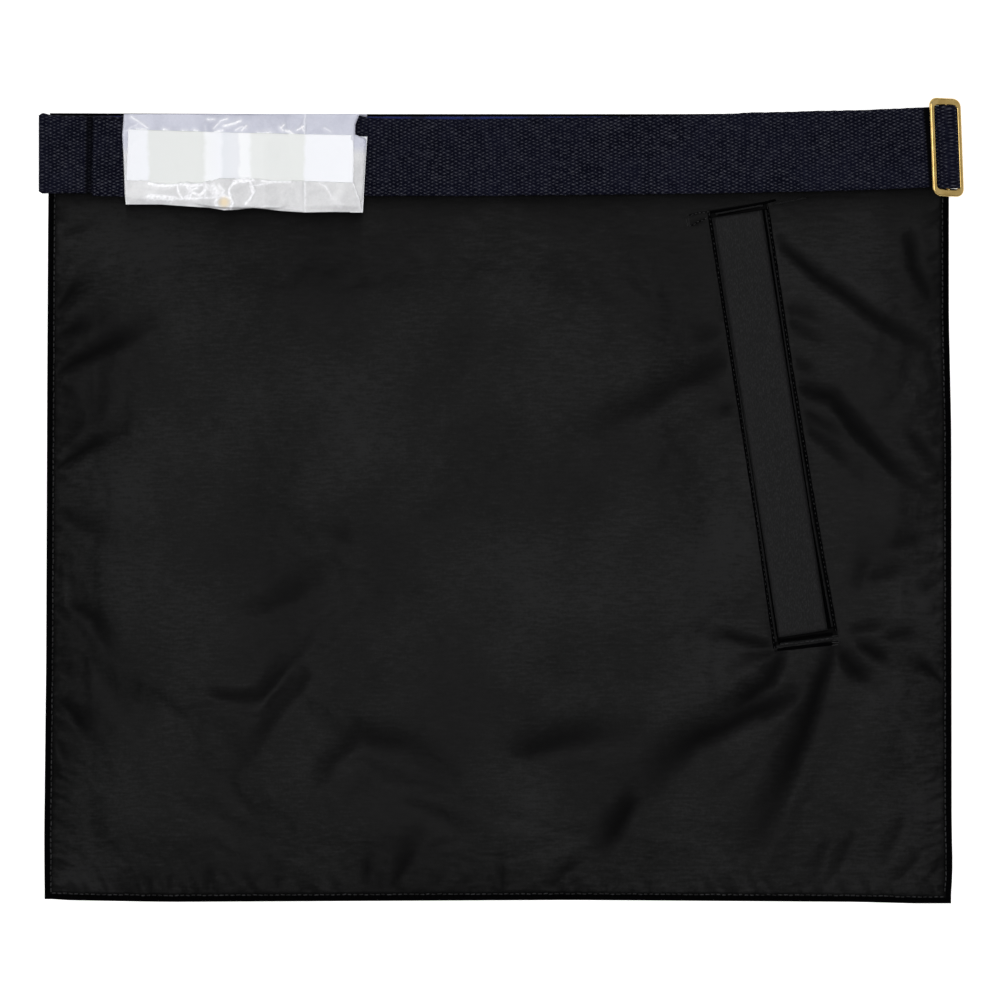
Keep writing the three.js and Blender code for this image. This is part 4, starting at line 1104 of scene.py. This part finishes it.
def finish_lining(shape, points, inset, valley):
    """Hem, seams and small puckers, then the closed underside."""
    places, height = points[:, :2], points[:, 2].copy()
    along, across = pocket_frame(places)
    left, right = seam_offset(along, across, "left_outer"), seam_offset(along, across, "right_outer")
    seam = np.exp(-(((inset - HEM_WIDTH) / (0.8 * MM)) ** 2))
    rim = ease(-inset, -1.2 * MM, 0)
    pucker = noise_at(places, 3.2 * MM) + 0.6 * noise_at(places, 7 * MM, 5)
    near = ease(inset, 0.3 * MM, HEM_WIDTH) * np.exp(-np.maximum(inset - HEM_WIDTH, 0) / (9 * MM))
    height += PUCKER_RISE * pucker * near - HEM_SINK * seam - RIM_DROP * rim
    beside = ease(POCKET_SEAM_HALF * MM - np.abs(along), -1 * MM, 1 * MM)
    for offset in (left, right):
        height -= SEAM_SINK * beside * np.exp(-((offset / (1.1 * MM)) ** 2))
    height = np.maximum(height, LINING_FLOOR + 0.4 * MM)
    place_vertices(shape, np.column_stack([places, height]))
    carry(
        shape, inset=inset / MM, pocket_along=along / MM, left_seam=left / MM, right_seam=right / MM,
        valley=valley)
    border = [edge for edge in shape.edges if edge.is_boundary]
    skirt = bmesh.ops.extrude_edge_only(shape, edges=border)["geom"]
    lowered = [item for item in skirt if isinstance(item, bmesh.types.BMVert)]
    for vertex in lowered:
        vertex.co.z = LINING_FLOOR
    rims = [edge for edge in shape.edges if edge.is_boundary]
    bmesh.ops.contextual_create(shape, geom=rims)
    bmesh.ops.recalc_face_normals(shape, faces=shape.faces)


# Stitches

UNEVEN_SEAM = 0.28 * MM
STITCH_LIFTS = (0.6, 0.0, 0.0, -0.6)


def thread_stitch(length, thickness):
    """One stitch along X: a thread that comes up, runs on the cloth and goes back down."""
    shape = bmesh.new()
    bmesh.ops.create_circle(
        shape, cap_ends=True, segments=6, radius=thickness / 2, matrix=Matrix.Rotation(math.pi / 2, 4, "Y"))
    bmesh.ops.translate(shape, verts=shape.verts, vec=(-length / 2, 0, -thickness * 0.4))
    start = end = shape.faces[:]
    for lift in STITCH_LIFTS:
        grown = bmesh.ops.extrude_face_region(shape, geom=end)
        verts = [item for item in grown["geom"] if isinstance(item, bmesh.types.BMVert)]
        bmesh.ops.translate(
            shape, verts=verts, vec=(length / len(STITCH_LIFTS), 0, lift * thickness))
        if end is not start:
            bmesh.ops.delete(shape, geom=end, context="FACES_ONLY")
        end = [item for item in grown["geom"] if isinstance(item, bmesh.types.BMFace)]
    bmesh.ops.recalc_face_normals(shape, faces=shape.faces)
    mesh = bpy.data.meshes.new("stitch")
    shape.to_mesh(mesh)
    shape.free()
    return mesh


def resample(line, pitch):
    """Points at an even pitch along a line, each with the line's direction there."""
    points = np.array([tuple(p) for p in line])
    steps = np.hypot(*np.diff(points, axis=0).T)
    lengths = np.concatenate([[0], np.cumsum(steps)])
    count = max(int(lengths[-1] / pitch), 1)
    at = (np.arange(count) + 0.5) * lengths[-1] / count
    found, ahead, back = (
        np.column_stack([np.interp(at + shift, lengths, points[:, k]) for k in range(2)])
        for shift in (0, pitch / 2, -pitch / 2))
    return [(Vector(p), math.atan2(*(a - b)[::-1])) for p, a, b in zip(found, ahead, back)]


def sew(name, lines, ground, material, pitch, length, thickness):
    """Rows of stitches laid on the cloth below them, their sizes in mm."""
    pitch, thickness = pitch * MM, thickness * MM
    stitch = thread_stitch(length * MM, thickness)
    shape = bmesh.new()
    for line in lines:
        for place, angle in resample(line, pitch):
            start = len(shape.verts)
            shape.from_mesh(stitch)
            shape.verts.ensure_lookup_table()
            uneven = noise.noise_vector(Vector((place.x, place.y, 4)) / (1.7 * MM))
            x, y = place.x + uneven.x * UNEVEN_SEAM, place.y + uneven.y * UNEVEN_SEAM
            z = ground.top(x, y, BAND_TOP) + thickness * 0.15
            turned = Matrix.Translation((x, y, z)) @ Matrix.Rotation(angle + 0.3 * uneven.z, 4, "Z")
            sized = Matrix.Scale(1 + 0.35 * uneven.x, 4, (1, 0, 0))
            bmesh.ops.transform(shape, matrix=turned @ sized, verts=shape.verts[start:])
    return finish_piece(new_object(name, shape), material, "lining_cloth")


def hem_lines(edges, inset):
    """The hem's seam, a loop at an inset from the four edges."""
    top = edges["top"]
    ys = np.linspace(edges["bottom"][0] + inset, top[0] - inset, 80)
    xs = np.linspace(edges["left"][0] + inset, edges["right"][0] - inset, 80)
    left = [Vector((np.interp(y, edges["ys"], edges["left"]) + inset, y)) for y in ys]
    right = [Vector((np.interp(y, edges["ys"], edges["right"]) - inset, y)) for y in ys]
    bottom = [Vector((x, np.interp(x, edges["xs"], edges["bottom"]) + inset)) for x in xs]
    upper = [Vector((x, np.interp(x, edges["xs"], top) - inset)) for x in xs]
    return [left, right, bottom, upper]


# Belt


class StrapLine:
    """A strap's middle line in X and Z as it is laid, from point to point and round bars."""

    def __init__(self, x, z):
        self.points = [(x, z)]

    def glide(self, x, z, count):
        x0, z0 = self.points[-1]
        for share in np.linspace(0, 1, count + 1)[1:]:
            self.points.append((x0 + (x - x0) * share, z0 + (z - z0) * ease(share, 0, 1)))
        return self

    def turn(self, x, z, radius, start, end, count):
        for angle in np.linspace(start * math.pi, end * math.pi, count + 1)[1:]:
            self.points.append((x + radius * math.cos(angle), z + radius * math.sin(angle)))
        return self


LEFT_BAR = CLASP_PLACE - CLASP_RUN / 2
RIGHT_BAR = CLASP_PLACE + CLASP_RUN / 2
FOLD_PLACE = -APRON_WIDTH / 2 - FOLD_OVERHANG + LAYER_STEP / 2 + STRAP_WALL / 2
LEFT_TAIL_END = FOLD_PLACE + LEFT_TAIL
LEFT_RUN_DOWN = LEFT_TAIL_END + SETTLE


def left_strap_line():
    """From the sewn tail round the fold to the clasp and back on top, with each point's shift down."""
    upper = WRAPPED_LAYER + LAYER_STEP
    line = StrapLine(LEFT_TAIL_END, LOW_LAYER)
    line.glide(FOLD_PLACE, LOW_LAYER, 16)
    line.turn(FOLD_PLACE, LOW_LAYER + LAYER_STEP / 2, LAYER_STEP / 2, 1.5, 0.5, 12)
    line.glide(LEFT_TAIL_END + STEP_GAP, LOW_LAYER + LAYER_STEP, 60)
    line.glide(LEFT_RUN_DOWN, WRAPPED_LAYER, 8)
    line.glide(LEFT_BAR, WRAPPED_LAYER, 10)
    line.turn(LEFT_BAR, CLASP_LEVEL, CLASP_TURN, -0.5, 0.5, 10)
    line.glide(LEFT_BAR - CLASP_DESCENT, upper, 8)
    line.glide(LEFT_RUN_DOWN, upper, 8)
    line.glide(LEFT_TAIL_END + STEP_GAP, LOW_LAYER + 2 * LAYER_STEP, 12)
    line.glide(LEFT_BAR - LEFT_END_OVERLAP, LOW_LAYER + 2 * LAYER_STEP, 24)
    path = line.points[::-1]
    lapped = next(k for k, (x, _) in enumerate(path) if x > LEFT_BAR - STEP_GAP)
    shifts = [LEFT_END_SHIFT * ease(1 - k / lapped, 0, SHIFTED_SHARE) for k in range(len(path))]
    return path, shifts


def right_strap_line():
    """From the end inside the wrapper round the clasp, across the apron, round the slider and back."""
    upper = WRAPPED_LAYER + LAYER_STEP
    loop_end = RIGHT_BAR + CLASP_TAIL
    wrap_end = WRAPPER_START + WRAPPER_LENGTH + SETTLE / 2
    tail_end = SLIDER_PLACE - RIGHT_TAIL
    line = StrapLine(loop_end, WRAPPED_LAYER)
    line.glide(RIGHT_BAR, WRAPPED_LAYER, 8)
    line.turn(RIGHT_BAR, CLASP_LEVEL, CLASP_TURN, 1.5, 0.5, 10)
    line.glide(RIGHT_BAR + CLASP_DESCENT, upper, 8)
    line.glide(loop_end + STEP_GAP, upper, 6)
    line.glide(loop_end + SETTLE, WRAPPED_LAYER, 8)
    line.glide(wrap_end, WRAPPED_LAYER, 6)
    line.glide(wrap_end + SETTLE, LOW_LAYER, 14)
    line.glide(tail_end - SETTLE, LOW_LAYER, 300)
    line.glide(tail_end - STEP_GAP, LOW_LAYER + LAYER_STEP, 16)
    line.glide(SLIDER_PLACE - SLIDER_RISE, LOW_LAYER + LAYER_STEP, 90)
    line.glide(SLIDER_PLACE, CROSS_LEVEL + CROSS_TURN, 16)
    line.turn(SLIDER_PLACE, CROSS_LEVEL, CROSS_TURN, 0.5, -0.5, 14)
    line.glide(tail_end, LOW_LAYER, 30)
    return line.points, [0.0] * len(line.points)


# Where the ribbon shows above the belt: column in the photo, how far the belt's top edge lies lower in mm
EDGE_DROP = [
    (44, 0), (52, 0.9), (90, 1.2), (120, 1.3), (122, 0), (360, 0), (372, 1.0), (450, 1.5), (600, 1.1),
    (700, 0.5), (750, 0),
]
# Shadows on the webbing beside the slider and beside the left layer's end: the photo's columns
# where each starts and ends, at the belt's top and at its foot, and its depth
BELT_SHADOWS = {
    "right_strap": [(924.5, 931), (927, 935), 1.0],
    "left_strap": [(86, 92), (85, 91), 0.75],
}
STRAP_SPREAD = 0.04
LOOP_SAG = 0.35 * MM
STRAP_COLUMNS = 40
FOLD_CORNER = 1.6 * MM


def make_strap(name, path, shifts, material, node):
    """The webbing as a sheet along its path, with its worn edges, then its wall."""
    rows = len(path) - 1
    shape, unit = unit_grid(rows, STRAP_COLUMNS)
    points = np.array(path)
    steps = np.hypot(*np.diff(points, axis=0).T)
    lengths = np.concatenate([[0], np.cumsum(steps)])
    index = np.round(unit[:, 0] * rows).astype(int)
    across = (0.5 - unit[:, 1]) * STRAP_WIDTH
    ahead, behind = points[np.minimum(index + 1, rows)], points[np.maximum(index - 1, 0)]
    tangent = ahead - behind
    tangent /= np.hypot(*tangent.T)[:, None]
    normal = np.stack([-tangent[:, 1], tangent[:, 0]], axis=1)
    lean = np.array([belt_lean(x) for x in points[:, 0]])[index]
    middle = np.array([belt_middle(x) for x in points[:, 0]] - np.array(shifts))[index]
    along = lengths[index]
    edge = ease(STRAP_WIDTH / 2 - np.abs(across), 0, 0.9 * MM)
    waves = np.array([noise.noise(Vector((a / (18 * MM), c / (22 * MM), 1))) for a, c in zip(along, across)])
    lift = 0.15 * MM * waves * edge - 0.4 * MM * (1 - edge)
    frayed = np.array([noise.noise(Vector((a / (2.4 * MM), 0.5, 0))) for a in along]) * 0.22 * MM
    corner = np.clip(1 - np.abs(points[index, 0] + APRON_WIDTH / 2 + FOLD_OVERHANG) / FOLD_CORNER, 0, 1)
    rounded = FOLD_CORNER * (1 - np.sqrt(1 - corner ** 2)) * (node == "left_strap")
    across = across + np.sign(across) * (frayed - rounded) * (1 - edge)
    columns = points[index, 0] / PIXEL + MIDDLE_COLUMN
    drop = np.interp(columns, *zip(*EDGE_DROP)) * MM
    across = across - drop * ease(across, STRAP_WIDTH * 0.1, STRAP_WIDTH / 2)
    looped = ease(points[index, 0], SLIDER_PLACE - 7 * MM, SLIDER_PLACE - 4 * MM)
    across = across * (1 + STRAP_SPREAD * looped)
    foot = 0.5 - across / STRAP_WIDTH
    upper, lower, depth = BELT_SHADOWS[node]
    start, end = (top + foot * (low - top) for top, low in zip(upper, lower))
    shade = depth * ease(columns, start - 1, start + 1.5) * (1 - ease(columns, end, end + 1.5))
    x, z = points[index].T + normal.T * (STRAP_WALL / 2 - REST_GAP / 3 + lift)
    stretched = np.where(x > SLIDER_PLACE, SLIDER_PLACE + (x - SLIDER_PLACE) * LOOP_STRETCH, x)
    y = middle + across * np.cos(lean) - LOOP_SAG * looped
    place_vertices(shape, np.column_stack([stretched - across * np.sin(lean), y, z]))
    shape.verts.index_update()
    set_surface_map(shape, np.stack([along, across], axis=1) / MM)
    carry(shape, shade=shade)
    face_up(shape)
    piece = new_object(name, shape)
    give_wall(piece, STRAP_WALL - 0.6 * REST_GAP)
    finish_piece(piece, material, "webbing", node)
    return piece


# Slider and clasp


def round_loop(shape, size, corner, level):
    """The edges of a rectangle with round corners."""
    old = set(shape.verts)
    bmesh.ops.create_grid(
        shape, x_segments=1, y_segments=1, size=0.5,
        matrix=Matrix.Translation((0, 0, level)) @ Matrix.Diagonal((size[0], size[1], 1, 1)))
    corners = [v for v in shape.verts if v not in old]
    bmesh.ops.bevel(
        shape, geom=corners, offset=corner, segments=8, profile=0.5, affect="VERTICES", material=-1)
    inside = [face for face in shape.faces if not any(v in old for v in face.verts)]
    edges = [edge for face in inside for edge in face.edges]
    bmesh.ops.delete(shape, geom=inside, context="FACES_ONLY")
    return edges


def metal_frame(outline, hole, corner, hole_corner, wall, edge):
    """A flat metal frame with round corners and rounded edges, its middle at the origin."""
    shape = bmesh.new()
    loops = round_loop(shape, outline, corner, -wall / 2)
    loops += round_loop(shape, hole, hole_corner, -wall / 2)
    bmesh.ops.bridge_loops(shape, edges=loops)
    grown = bmesh.ops.extrude_face_region(shape, geom=shape.faces[:])
    raised = [item for item in grown["geom"] if isinstance(item, bmesh.types.BMVert)]
    bmesh.ops.translate(shape, verts=raised, vec=(0, 0, wall))
    bmesh.ops.recalc_face_normals(shape, faces=shape.faces)
    bmesh.ops.bevel(
        shape, geom=sharp_edges(shape, math.radians(60)), offset=edge, segments=5, profile=0.5,
        affect="EDGES", material=-1, clamp_overlap=True)
    return shape


def make_slider(material):
    """The brass frame and its cross bar, tilted over the strap and leaning with the belt."""
    outline = (SLIDER_SPAN, SLIDER_LENGTH)
    hole = (SLIDER_SPAN - 2 * SIDE_BAR, SLIDER_LENGTH - 2 * END_BAR)
    shape = metal_frame(outline, hole, SLIDER_CORNER, HOLE_CORNER, SLIDER_WALL, 0.92 * MM)
    bmesh.ops.create_cone(
        shape, cap_ends=True, segments=24, radius1=CROSS_BAR / 2, radius2=CROSS_BAR / 2,
        depth=SLIDER_LENGTH - END_BAR, matrix=Matrix.Rotation(math.pi / 2, 4, "X"))
    inner = SLIDER_SPAN / 2 - SIDE_BAR
    share = ease(1 - inner / SLIDER_RISE, 0, 1)
    under = (LOW_LAYER + LAYER_STEP) * (1 - share) + (CROSS_LEVEL + CROSS_TURN) * share
    tilt = math.asin((under + STRAP_WALL / 2 + SLIDE_GAP + SLIDER_WALL / 2 - CROSS_LEVEL) / inner)
    place = Matrix.Translation((SLIDER_PLACE, belt_middle(SLIDER_PLACE) - SLIDER_SAG, CROSS_LEVEL))
    lean = Matrix.Rotation(SLIDER_LEAN_SHARE * belt_lean(SLIDER_PLACE), 4, "Z")
    sheared = Matrix.Shear("XZ", 4, (0, 0))
    sheared[1][0] = -SLIDER_SHEAR
    turned = place @ sheared @ lean @ Matrix.Rotation(tilt, 4, "Y")
    bmesh.ops.transform(shape, matrix=turned, verts=shape.verts)
    return finish_piece(new_object("slider", shape), material, "brass", "brass_slider")


def make_clasp(material):
    hole = (CLASP_RUN - CLASP_BAR, STRAP_WIDTH + 2 * SLIDE_GAP)
    outline = (CLASP_RUN + CLASP_BAR, hole[1] + 2 * CLASP_RIM)
    shape = metal_frame(outline, hole, CLASP_RIM, 0.6 * MM, CLASP_BAR, 0.6 * MM)
    place = Matrix.Translation((CLASP_PLACE, belt_middle(CLASP_PLACE), CLASP_LEVEL))
    bmesh.ops.transform(shape, matrix=place, verts=shape.verts)
    return finish_piece(new_object("clasp", shape), material, "brass", "belt_clasp")


# Pocket welt

WELT_CREASES = [[(771, 340), (741, 353)], [(780, 392), (749, 408)], [(790, 436), (756, 460)]]
CREASE_WIDTH = 1.6 * MM


def make_welt(material):
    """The pocket's strip, a little crowned, with three creases across it."""
    shape, unit = unit_grid(200, 24)
    half = POCKET_LENGTH / 2 - WELT_INSET
    points = []
    for u, v in unit:
        along = (u * 2 - 1) * half
        place = pocket_place(along, WELT_INSET - POCKET_FIELD / 2 + v * WELT_WIDTH)
        crown = 0.25 * MM * math.sin(math.pi * v) ** 0.5
        edge = 0.5 * MM * (1 - ease(min(v, 1 - v), 0, 0.05)) + 0.5 * MM * (1 - ease(min(u, 1 - u), 0, 0.01))
        ripple = 0.12 * MM * noise.noise(Vector((along, v * WELT_WIDTH * 2, 0)) / (9 * MM))
        points.append((place.x, place.y, WELT_TOP - 0.6 * MM + crown - edge + ripple))
    points = np.array(points)
    for crease in WELT_CREASES:
        away, _, _ = distance_to_line(points[:, :2], photo_line(crease))
        points[:, 2] -= 0.3 * MM * np.exp(-((away / CREASE_WIDTH) ** 2))
        points[:, 2] += 0.15 * MM * np.exp(-(((away - 3 * MM) / CREASE_WIDTH) ** 2))
    place_vertices(shape, points)
    face_up(shape)
    piece = new_object("welt", shape)
    give_wall(piece, 1.1 * MM)
    finish_piece(piece, material, "welt_cloth", "pocket_welt")
    return piece


def make_cords(name, table, base, rise, material):
    """Narrow rounded bands along lines of the pocket: its lips, and near-black bands of painted shade along
    its pressed seams.
    """
    shape = bmesh.new()
    for line_name, half in table:
        line = resample(photo_line(POCKET_LINES[line_name]), 1.2 * MM)
        last = len(line) - 1
        strip, unit = unit_grid(last, 8)
        points = []
        for u, v in unit:
            place, angle = line[round(u * last)]
            turn = (v - 0.5) * math.pi
            uneven = 1 + 0.25 * noise.noise(Vector((place.x, place.y, 0)) / (2.5 * MM))
            out = half * uneven * math.sin(turn)
            z = base(place) + rise * uneven * math.cos(turn)
            points.append((place.x - out * math.sin(angle), place.y + out * math.cos(angle), z))
        place_vertices(strip, points)
        made = bpy.data.meshes.new(line_name)
        strip.to_mesh(made)
        strip.free()
        shape.from_mesh(made)
        bpy.data.meshes.remove(made)
    bmesh.ops.recalc_face_normals(shape, faces=shape.faces)
    upside_down = [face for face in shape.faces if face.normal.z < 0]
    bmesh.ops.reverse_faces(shape, faces=upside_down)
    piece = new_object(name, shape)
    give_wall(piece, 0.2 * MM)
    return finish_piece(piece, material, "lining_cloth")


# Wrapper


def make_film(material):
    """The folded film's underside and edges, under its finer top leaf."""
    shape = copy_of_node("belt_wrapper")
    bmesh.ops.subdivide_edges(shape, edges=shape.edges, cuts=3, use_grid_fill=True)
    for vertex in shape.verts:
        x, y, z = vertex.co
        lifted = ease(z - BELT_FLOOR, 1.2 * MM, 4 * MM)
        vertex.co.z += lifted * 0.2 * MM * noise.noise(Vector((x * 0.9, y, 1)) / (11 * MM))
    places = np.array([v.co[:2] for v in shape.verts])
    left, right, foot, top = map(photo_array, (LEAF_LEFT, FLAP_RIGHT, LEAF_FOOT, LEAF_TOP))
    x, y = places.T
    x = np.clip(
        x, np.interp(y, left[::-1, 1], left[::-1, 0]) + 0.15 * MM,
        np.interp(y, right[::-1, 1], right[::-1, 0]) - 0.15 * MM)
    y = np.clip(y, np.interp(x, *foot.T) + 0.2 * MM, np.interp(x, *top.T) - 0.1 * MM)
    for vertex, new_x, new_y in zip(shape.verts, x, y):
        vertex.co.x, vertex.co.y = new_x, new_y
    piece = new_object("film", shape)
    return finish_piece(piece, material, "film", "belt_wrapper")


def between_lines(unit, left, right, low, high):
    """Places of a grid that fits between four edge lines of the photo."""
    left, right, low, high = map(photo_array, (left, right, low, high))
    rise = unit[:, 1]
    y = low[0, 1] + rise * (high[0, 1] - low[0, 1])
    for _ in range(3):
        start = np.interp(y, left[::-1, 1], left[::-1, 0])
        end = np.interp(y, right[::-1, 1], right[::-1, 0])
        x = start + unit[:, 0] * (end - start)
        floor, roof = np.interp(x, low[:, 0], low[:, 1]), np.interp(x, high[:, 0], high[:, 1])
        y = floor + rise * (roof - floor)
    return np.column_stack([x, y])


def laid_sheet(name, places, shape, heights, wall, smoothing):
    """A thin sheet at given places and heights."""
    place_vertices(shape, np.column_stack([places, heights]))
    for _ in range(smoothing):
        bmesh.ops.smooth_vert(shape, verts=shape.verts, factor=0.5, use_axis_z=True)
    face_up(shape)
    piece = new_object(name, shape)
    give_wall(piece, wall)
    return piece


def make_leaf(material, under):
    """The wrapper's top leaf with its white creases and scuffs, and painted highlights along creases and its
    edges.
    """
    shape, unit = unit_grid(320, 140)
    places = between_lines(unit, LEAF_LEFT, LEAF_RIGHT, LEAF_FOOT, LEAF_TOP)
    heights = np.array([under.top(x, y, BELT_FLOOR + FILM_WALL) for x, y in places]) + 0.12 * MM
    crest = np.percentile(heights, 60)
    from_foot = unit[:, 1] * (LEAF_FOOT[0][1] - LEAF_TOP[0][1]) * PIXEL
    heights = np.maximum(heights, crest - 0.2 * MM - 0.9 * MM * (1 - ease(from_foot, 0, 3 * MM)))
    white = np.zeros(len(places))
    streaks = noise_at(places, 1.1 * MM, 1)
    moved = places + wander_at(places, 2.2 * MM, 3) * 0.35 * MM
    for points, half, strength, rise in MARKS:
        away, _, _ = distance_to_line(moved, photo_line(points))
        near = 1 - ease(away * (1 + 0.8 * streaks), 0.5 * half * MM, 1.25 * half * MM)
        halo = 0.35 * np.exp(-((away / (half * MM + 0.8 * MM)) ** 2))
        white = np.maximum(white, strength * np.maximum(near * (0.8 + 0.6 * streaks), halo))
        heights += rise * MM * np.exp(-((away / (0.9 * MM)) ** 2))
    heights += 0.12 * MM * noise_at(places, 6 * MM, 7)
    carry(shape, crease=white)
    piece = laid_sheet("film_leaf", places, shape, heights, 0.1 * MM, 2)
    return finish_piece(piece, material, "film")


def make_flap(material, under):
    """The inner flap that sticks out past the top leaf's right edge."""
    shape, unit = unit_grid(12, 60)
    foot, top = [FLAP_LEFT[-1], FLAP_RIGHT[-1]], [FLAP_LEFT[0], FLAP_RIGHT[0]]
    places = between_lines(unit, FLAP_LEFT, FLAP_RIGHT, foot, top)
    level = under.top(*photo_place(360, 165), WRAPPED_FLOOR)
    found = np.array([under.top(x, y, level) for x, y in places])
    # Whiteness over the flap, strongest at its right edge as a painted highlight on that fold
    carry(shape, crease=0.25 + 0.5 * np.exp(-((1 - unit[:, 0]) * 8)))
    heights = np.clip(found, level - 0.9 * MM, level + 0.3 * MM) - 0.2 * MM
    piece = laid_sheet("film_flap", places, shape, heights, 0.1 * MM, 3)
    return finish_piece(piece, material, "film")


def make_strip(material, under):
    shape, unit = unit_grid(190, 46)
    left, right = [STRIP_TOP[0], STRIP_FOOT[0]], [STRIP_TOP[-1], STRIP_FOOT[-1]]
    places = between_lines(unit, left, right, STRIP_FOOT, STRIP_TOP)
    ragged = np.array([noise.noise(Vector((x / (1.6 * MM), 0, 0))) for x in places[:, 0]])
    torn = np.exp(-(((places[:, 0] - photo_place(200, 0).x) / (28 * MM)) ** 4))
    places[:, 1] += 0.7 * MM * ragged * torn * (1 - unit[:, 1]) ** 4
    heights = np.array([under.top(x, y, BELT_FLOOR) for x, y in places]) + 0.3 * MM
    piece = laid_sheet("strip", places, shape, heights, 0.15 * MM, 2)
    return finish_piece(piece, material, "strip_paper", "wrapper_strip")


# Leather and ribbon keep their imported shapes, with finer edges


def make_leather(material):
    shape = copy_of_node("front_panel")
    bmesh.ops.bevel(
        shape, geom=sharp_edges(shape, math.radians(60)), offset=0.4 * MM, segments=3, profile=0.5,
        affect="EDGES", material=-1, clamp_overlap=True)
    piece = new_object("leather", shape)
    finish_piece(piece, material, "leather", "front_panel")
    return piece


def make_ribbon(material):
    shape = copy_of_node("top_ribbon")
    bmesh.ops.bevel(
        shape, geom=sharp_edges(shape, 1.0), offset=0.3 * MM, segments=3, profile=0.5, affect="EDGES",
        material=-1, clamp_overlap=True)
    piece = new_object("ribbon", shape)
    finish_piece(piece, material, "ribbon", "top_ribbon")
    return piece


# The apron

lining_edges = outline_of_lining()
lining = make_lining(lining_edges)
ground = Probe(lining)
seams = {name: photo_line(points) for name, points in POCKET_LINES.items()}
side_seams = [seams["left_outer"], seams["right_outer"]]
tails = [seams["tail_upper"], seams["tail_lower"]]
black_thread = thread("black_thread", (0.027, 0.027, 0.029))
seam_thread = thread("seam_thread", (0.02, 0.02, 0.021))
sew("hem_stitches", hem_lines(lining_edges, HEM_WIDTH), ground, black_thread, 2.5, 1.7, 0.52)
sew("pocket_stitches", side_seams, ground, seam_thread, 2.2, 1.1, 0.36)
sew("tail_stitches", tails, ground, seam_thread, 1.7, 1.2, 0.42)
sew("bar_tacks", [photo_line(row) for row in BAR_TACKS], ground, seam_thread, 3.2, 3.1, 0.42)
make_welt(welt_cloth())
# Near-black bands that paint the shade in the pocket's seams
make_cords("pocket_seam_shades", SEAM_SHADE_BANDS, lambda p: ground.top(p.x, p.y, BAND_TOP), 0.15 * MM, seam_shade_cloth())
lips = make_cords(
    "pocket_lips", POCKET_LIPS, lambda p: BAND_TOP + BED_RISE - 0.3 * MM, 1.2 * MM, welt_cloth())
sew("foot_stitches", [seams["foot_lip"]], Probe(lips), black_thread, 2.3, 1.3, 0.4)
make_leather(leather())
make_ribbon(ribbon_satin())
woven = webbing()
make_strap("left_belt", *left_strap_line(), woven, "left_strap")
make_strap("right_belt", *right_strap_line(), woven, "right_strap")
metal = brass()
make_slider(metal)
make_clasp(metal)
milky = film()
folded = Probe(make_film(milky))
make_flap(milky, folded)
leaf = make_leaf(milky, folded)
make_strip(strip_paper(), Probe(leaf))

# Floor, light and camera: each light's name, place, size and power in watts

LIGHTS = [
    ("left_window", (-1.7, 0.2, 1.0), (2.4, 2.0), 14),
    ("right_window", (1.7, 0.2, 1.0), (2.4, 2.0), 9),
    ("far_window", (0, 1.8, 1.0), (2.4, 2.0), 11),
    ("near_window", (0, -1.8, 1.0), (2.4, 2.0), 11),
    ("ceiling", (0, 0.02, 1.5), (1.15, 1.15), 15.5),
]
CAMERA_DISTANCE = 10
SENSOR_WIDTH = 36


def make_floor():
    shape = bmesh.new()
    bmesh.ops.create_grid(
        shape, x_segments=2, y_segments=2, size=4, matrix=Matrix.Translation((0, 0, -0.02 * MM)))
    floor = new_object("floor", shape)
    floor.data.materials.append(paper_floor())


def soft_light(name, place, size, power):
    data = bpy.data.lights.new(name, "AREA")
    data.shape = "RECTANGLE"
    data.size, data.size_y = size
    data.energy = power
    light = bpy.data.objects.new(name, data)
    light.location = place
    light.rotation_euler = (-Vector(place)).to_track_quat("-Z", "Y").to_euler()
    light.visible_camera = False
    scene.collection.objects.link(light)


def make_camera():
    view_middle = photo_place(PHOTO_SIDE / 2, PHOTO_SIDE / 2)
    data = bpy.data.cameras.new("camera")
    data.sensor_width = SENSOR_WIDTH
    data.lens = SENSOR_WIDTH * CAMERA_DISTANCE / (PHOTO_SIDE * PIXEL)
    camera = bpy.data.objects.new("camera", data)
    camera.location = (view_middle.x, view_middle.y, CAMERA_DISTANCE + BELT_FLOOR)
    scene.collection.objects.link(camera)
    scene.camera = camera


make_floor()
for light in LIGHTS:
    soft_light(*light)
world = bpy.data.worlds.new("studio")
world.use_nodes = True
world.node_tree.nodes["Background"].inputs["Color"].default_value = (1, 1, 1, 1)
world.node_tree.nodes["Background"].inputs["Strength"].default_value = 0.08
scene.world = world
scene.view_settings.view_transform = "Standard"
make_camera()
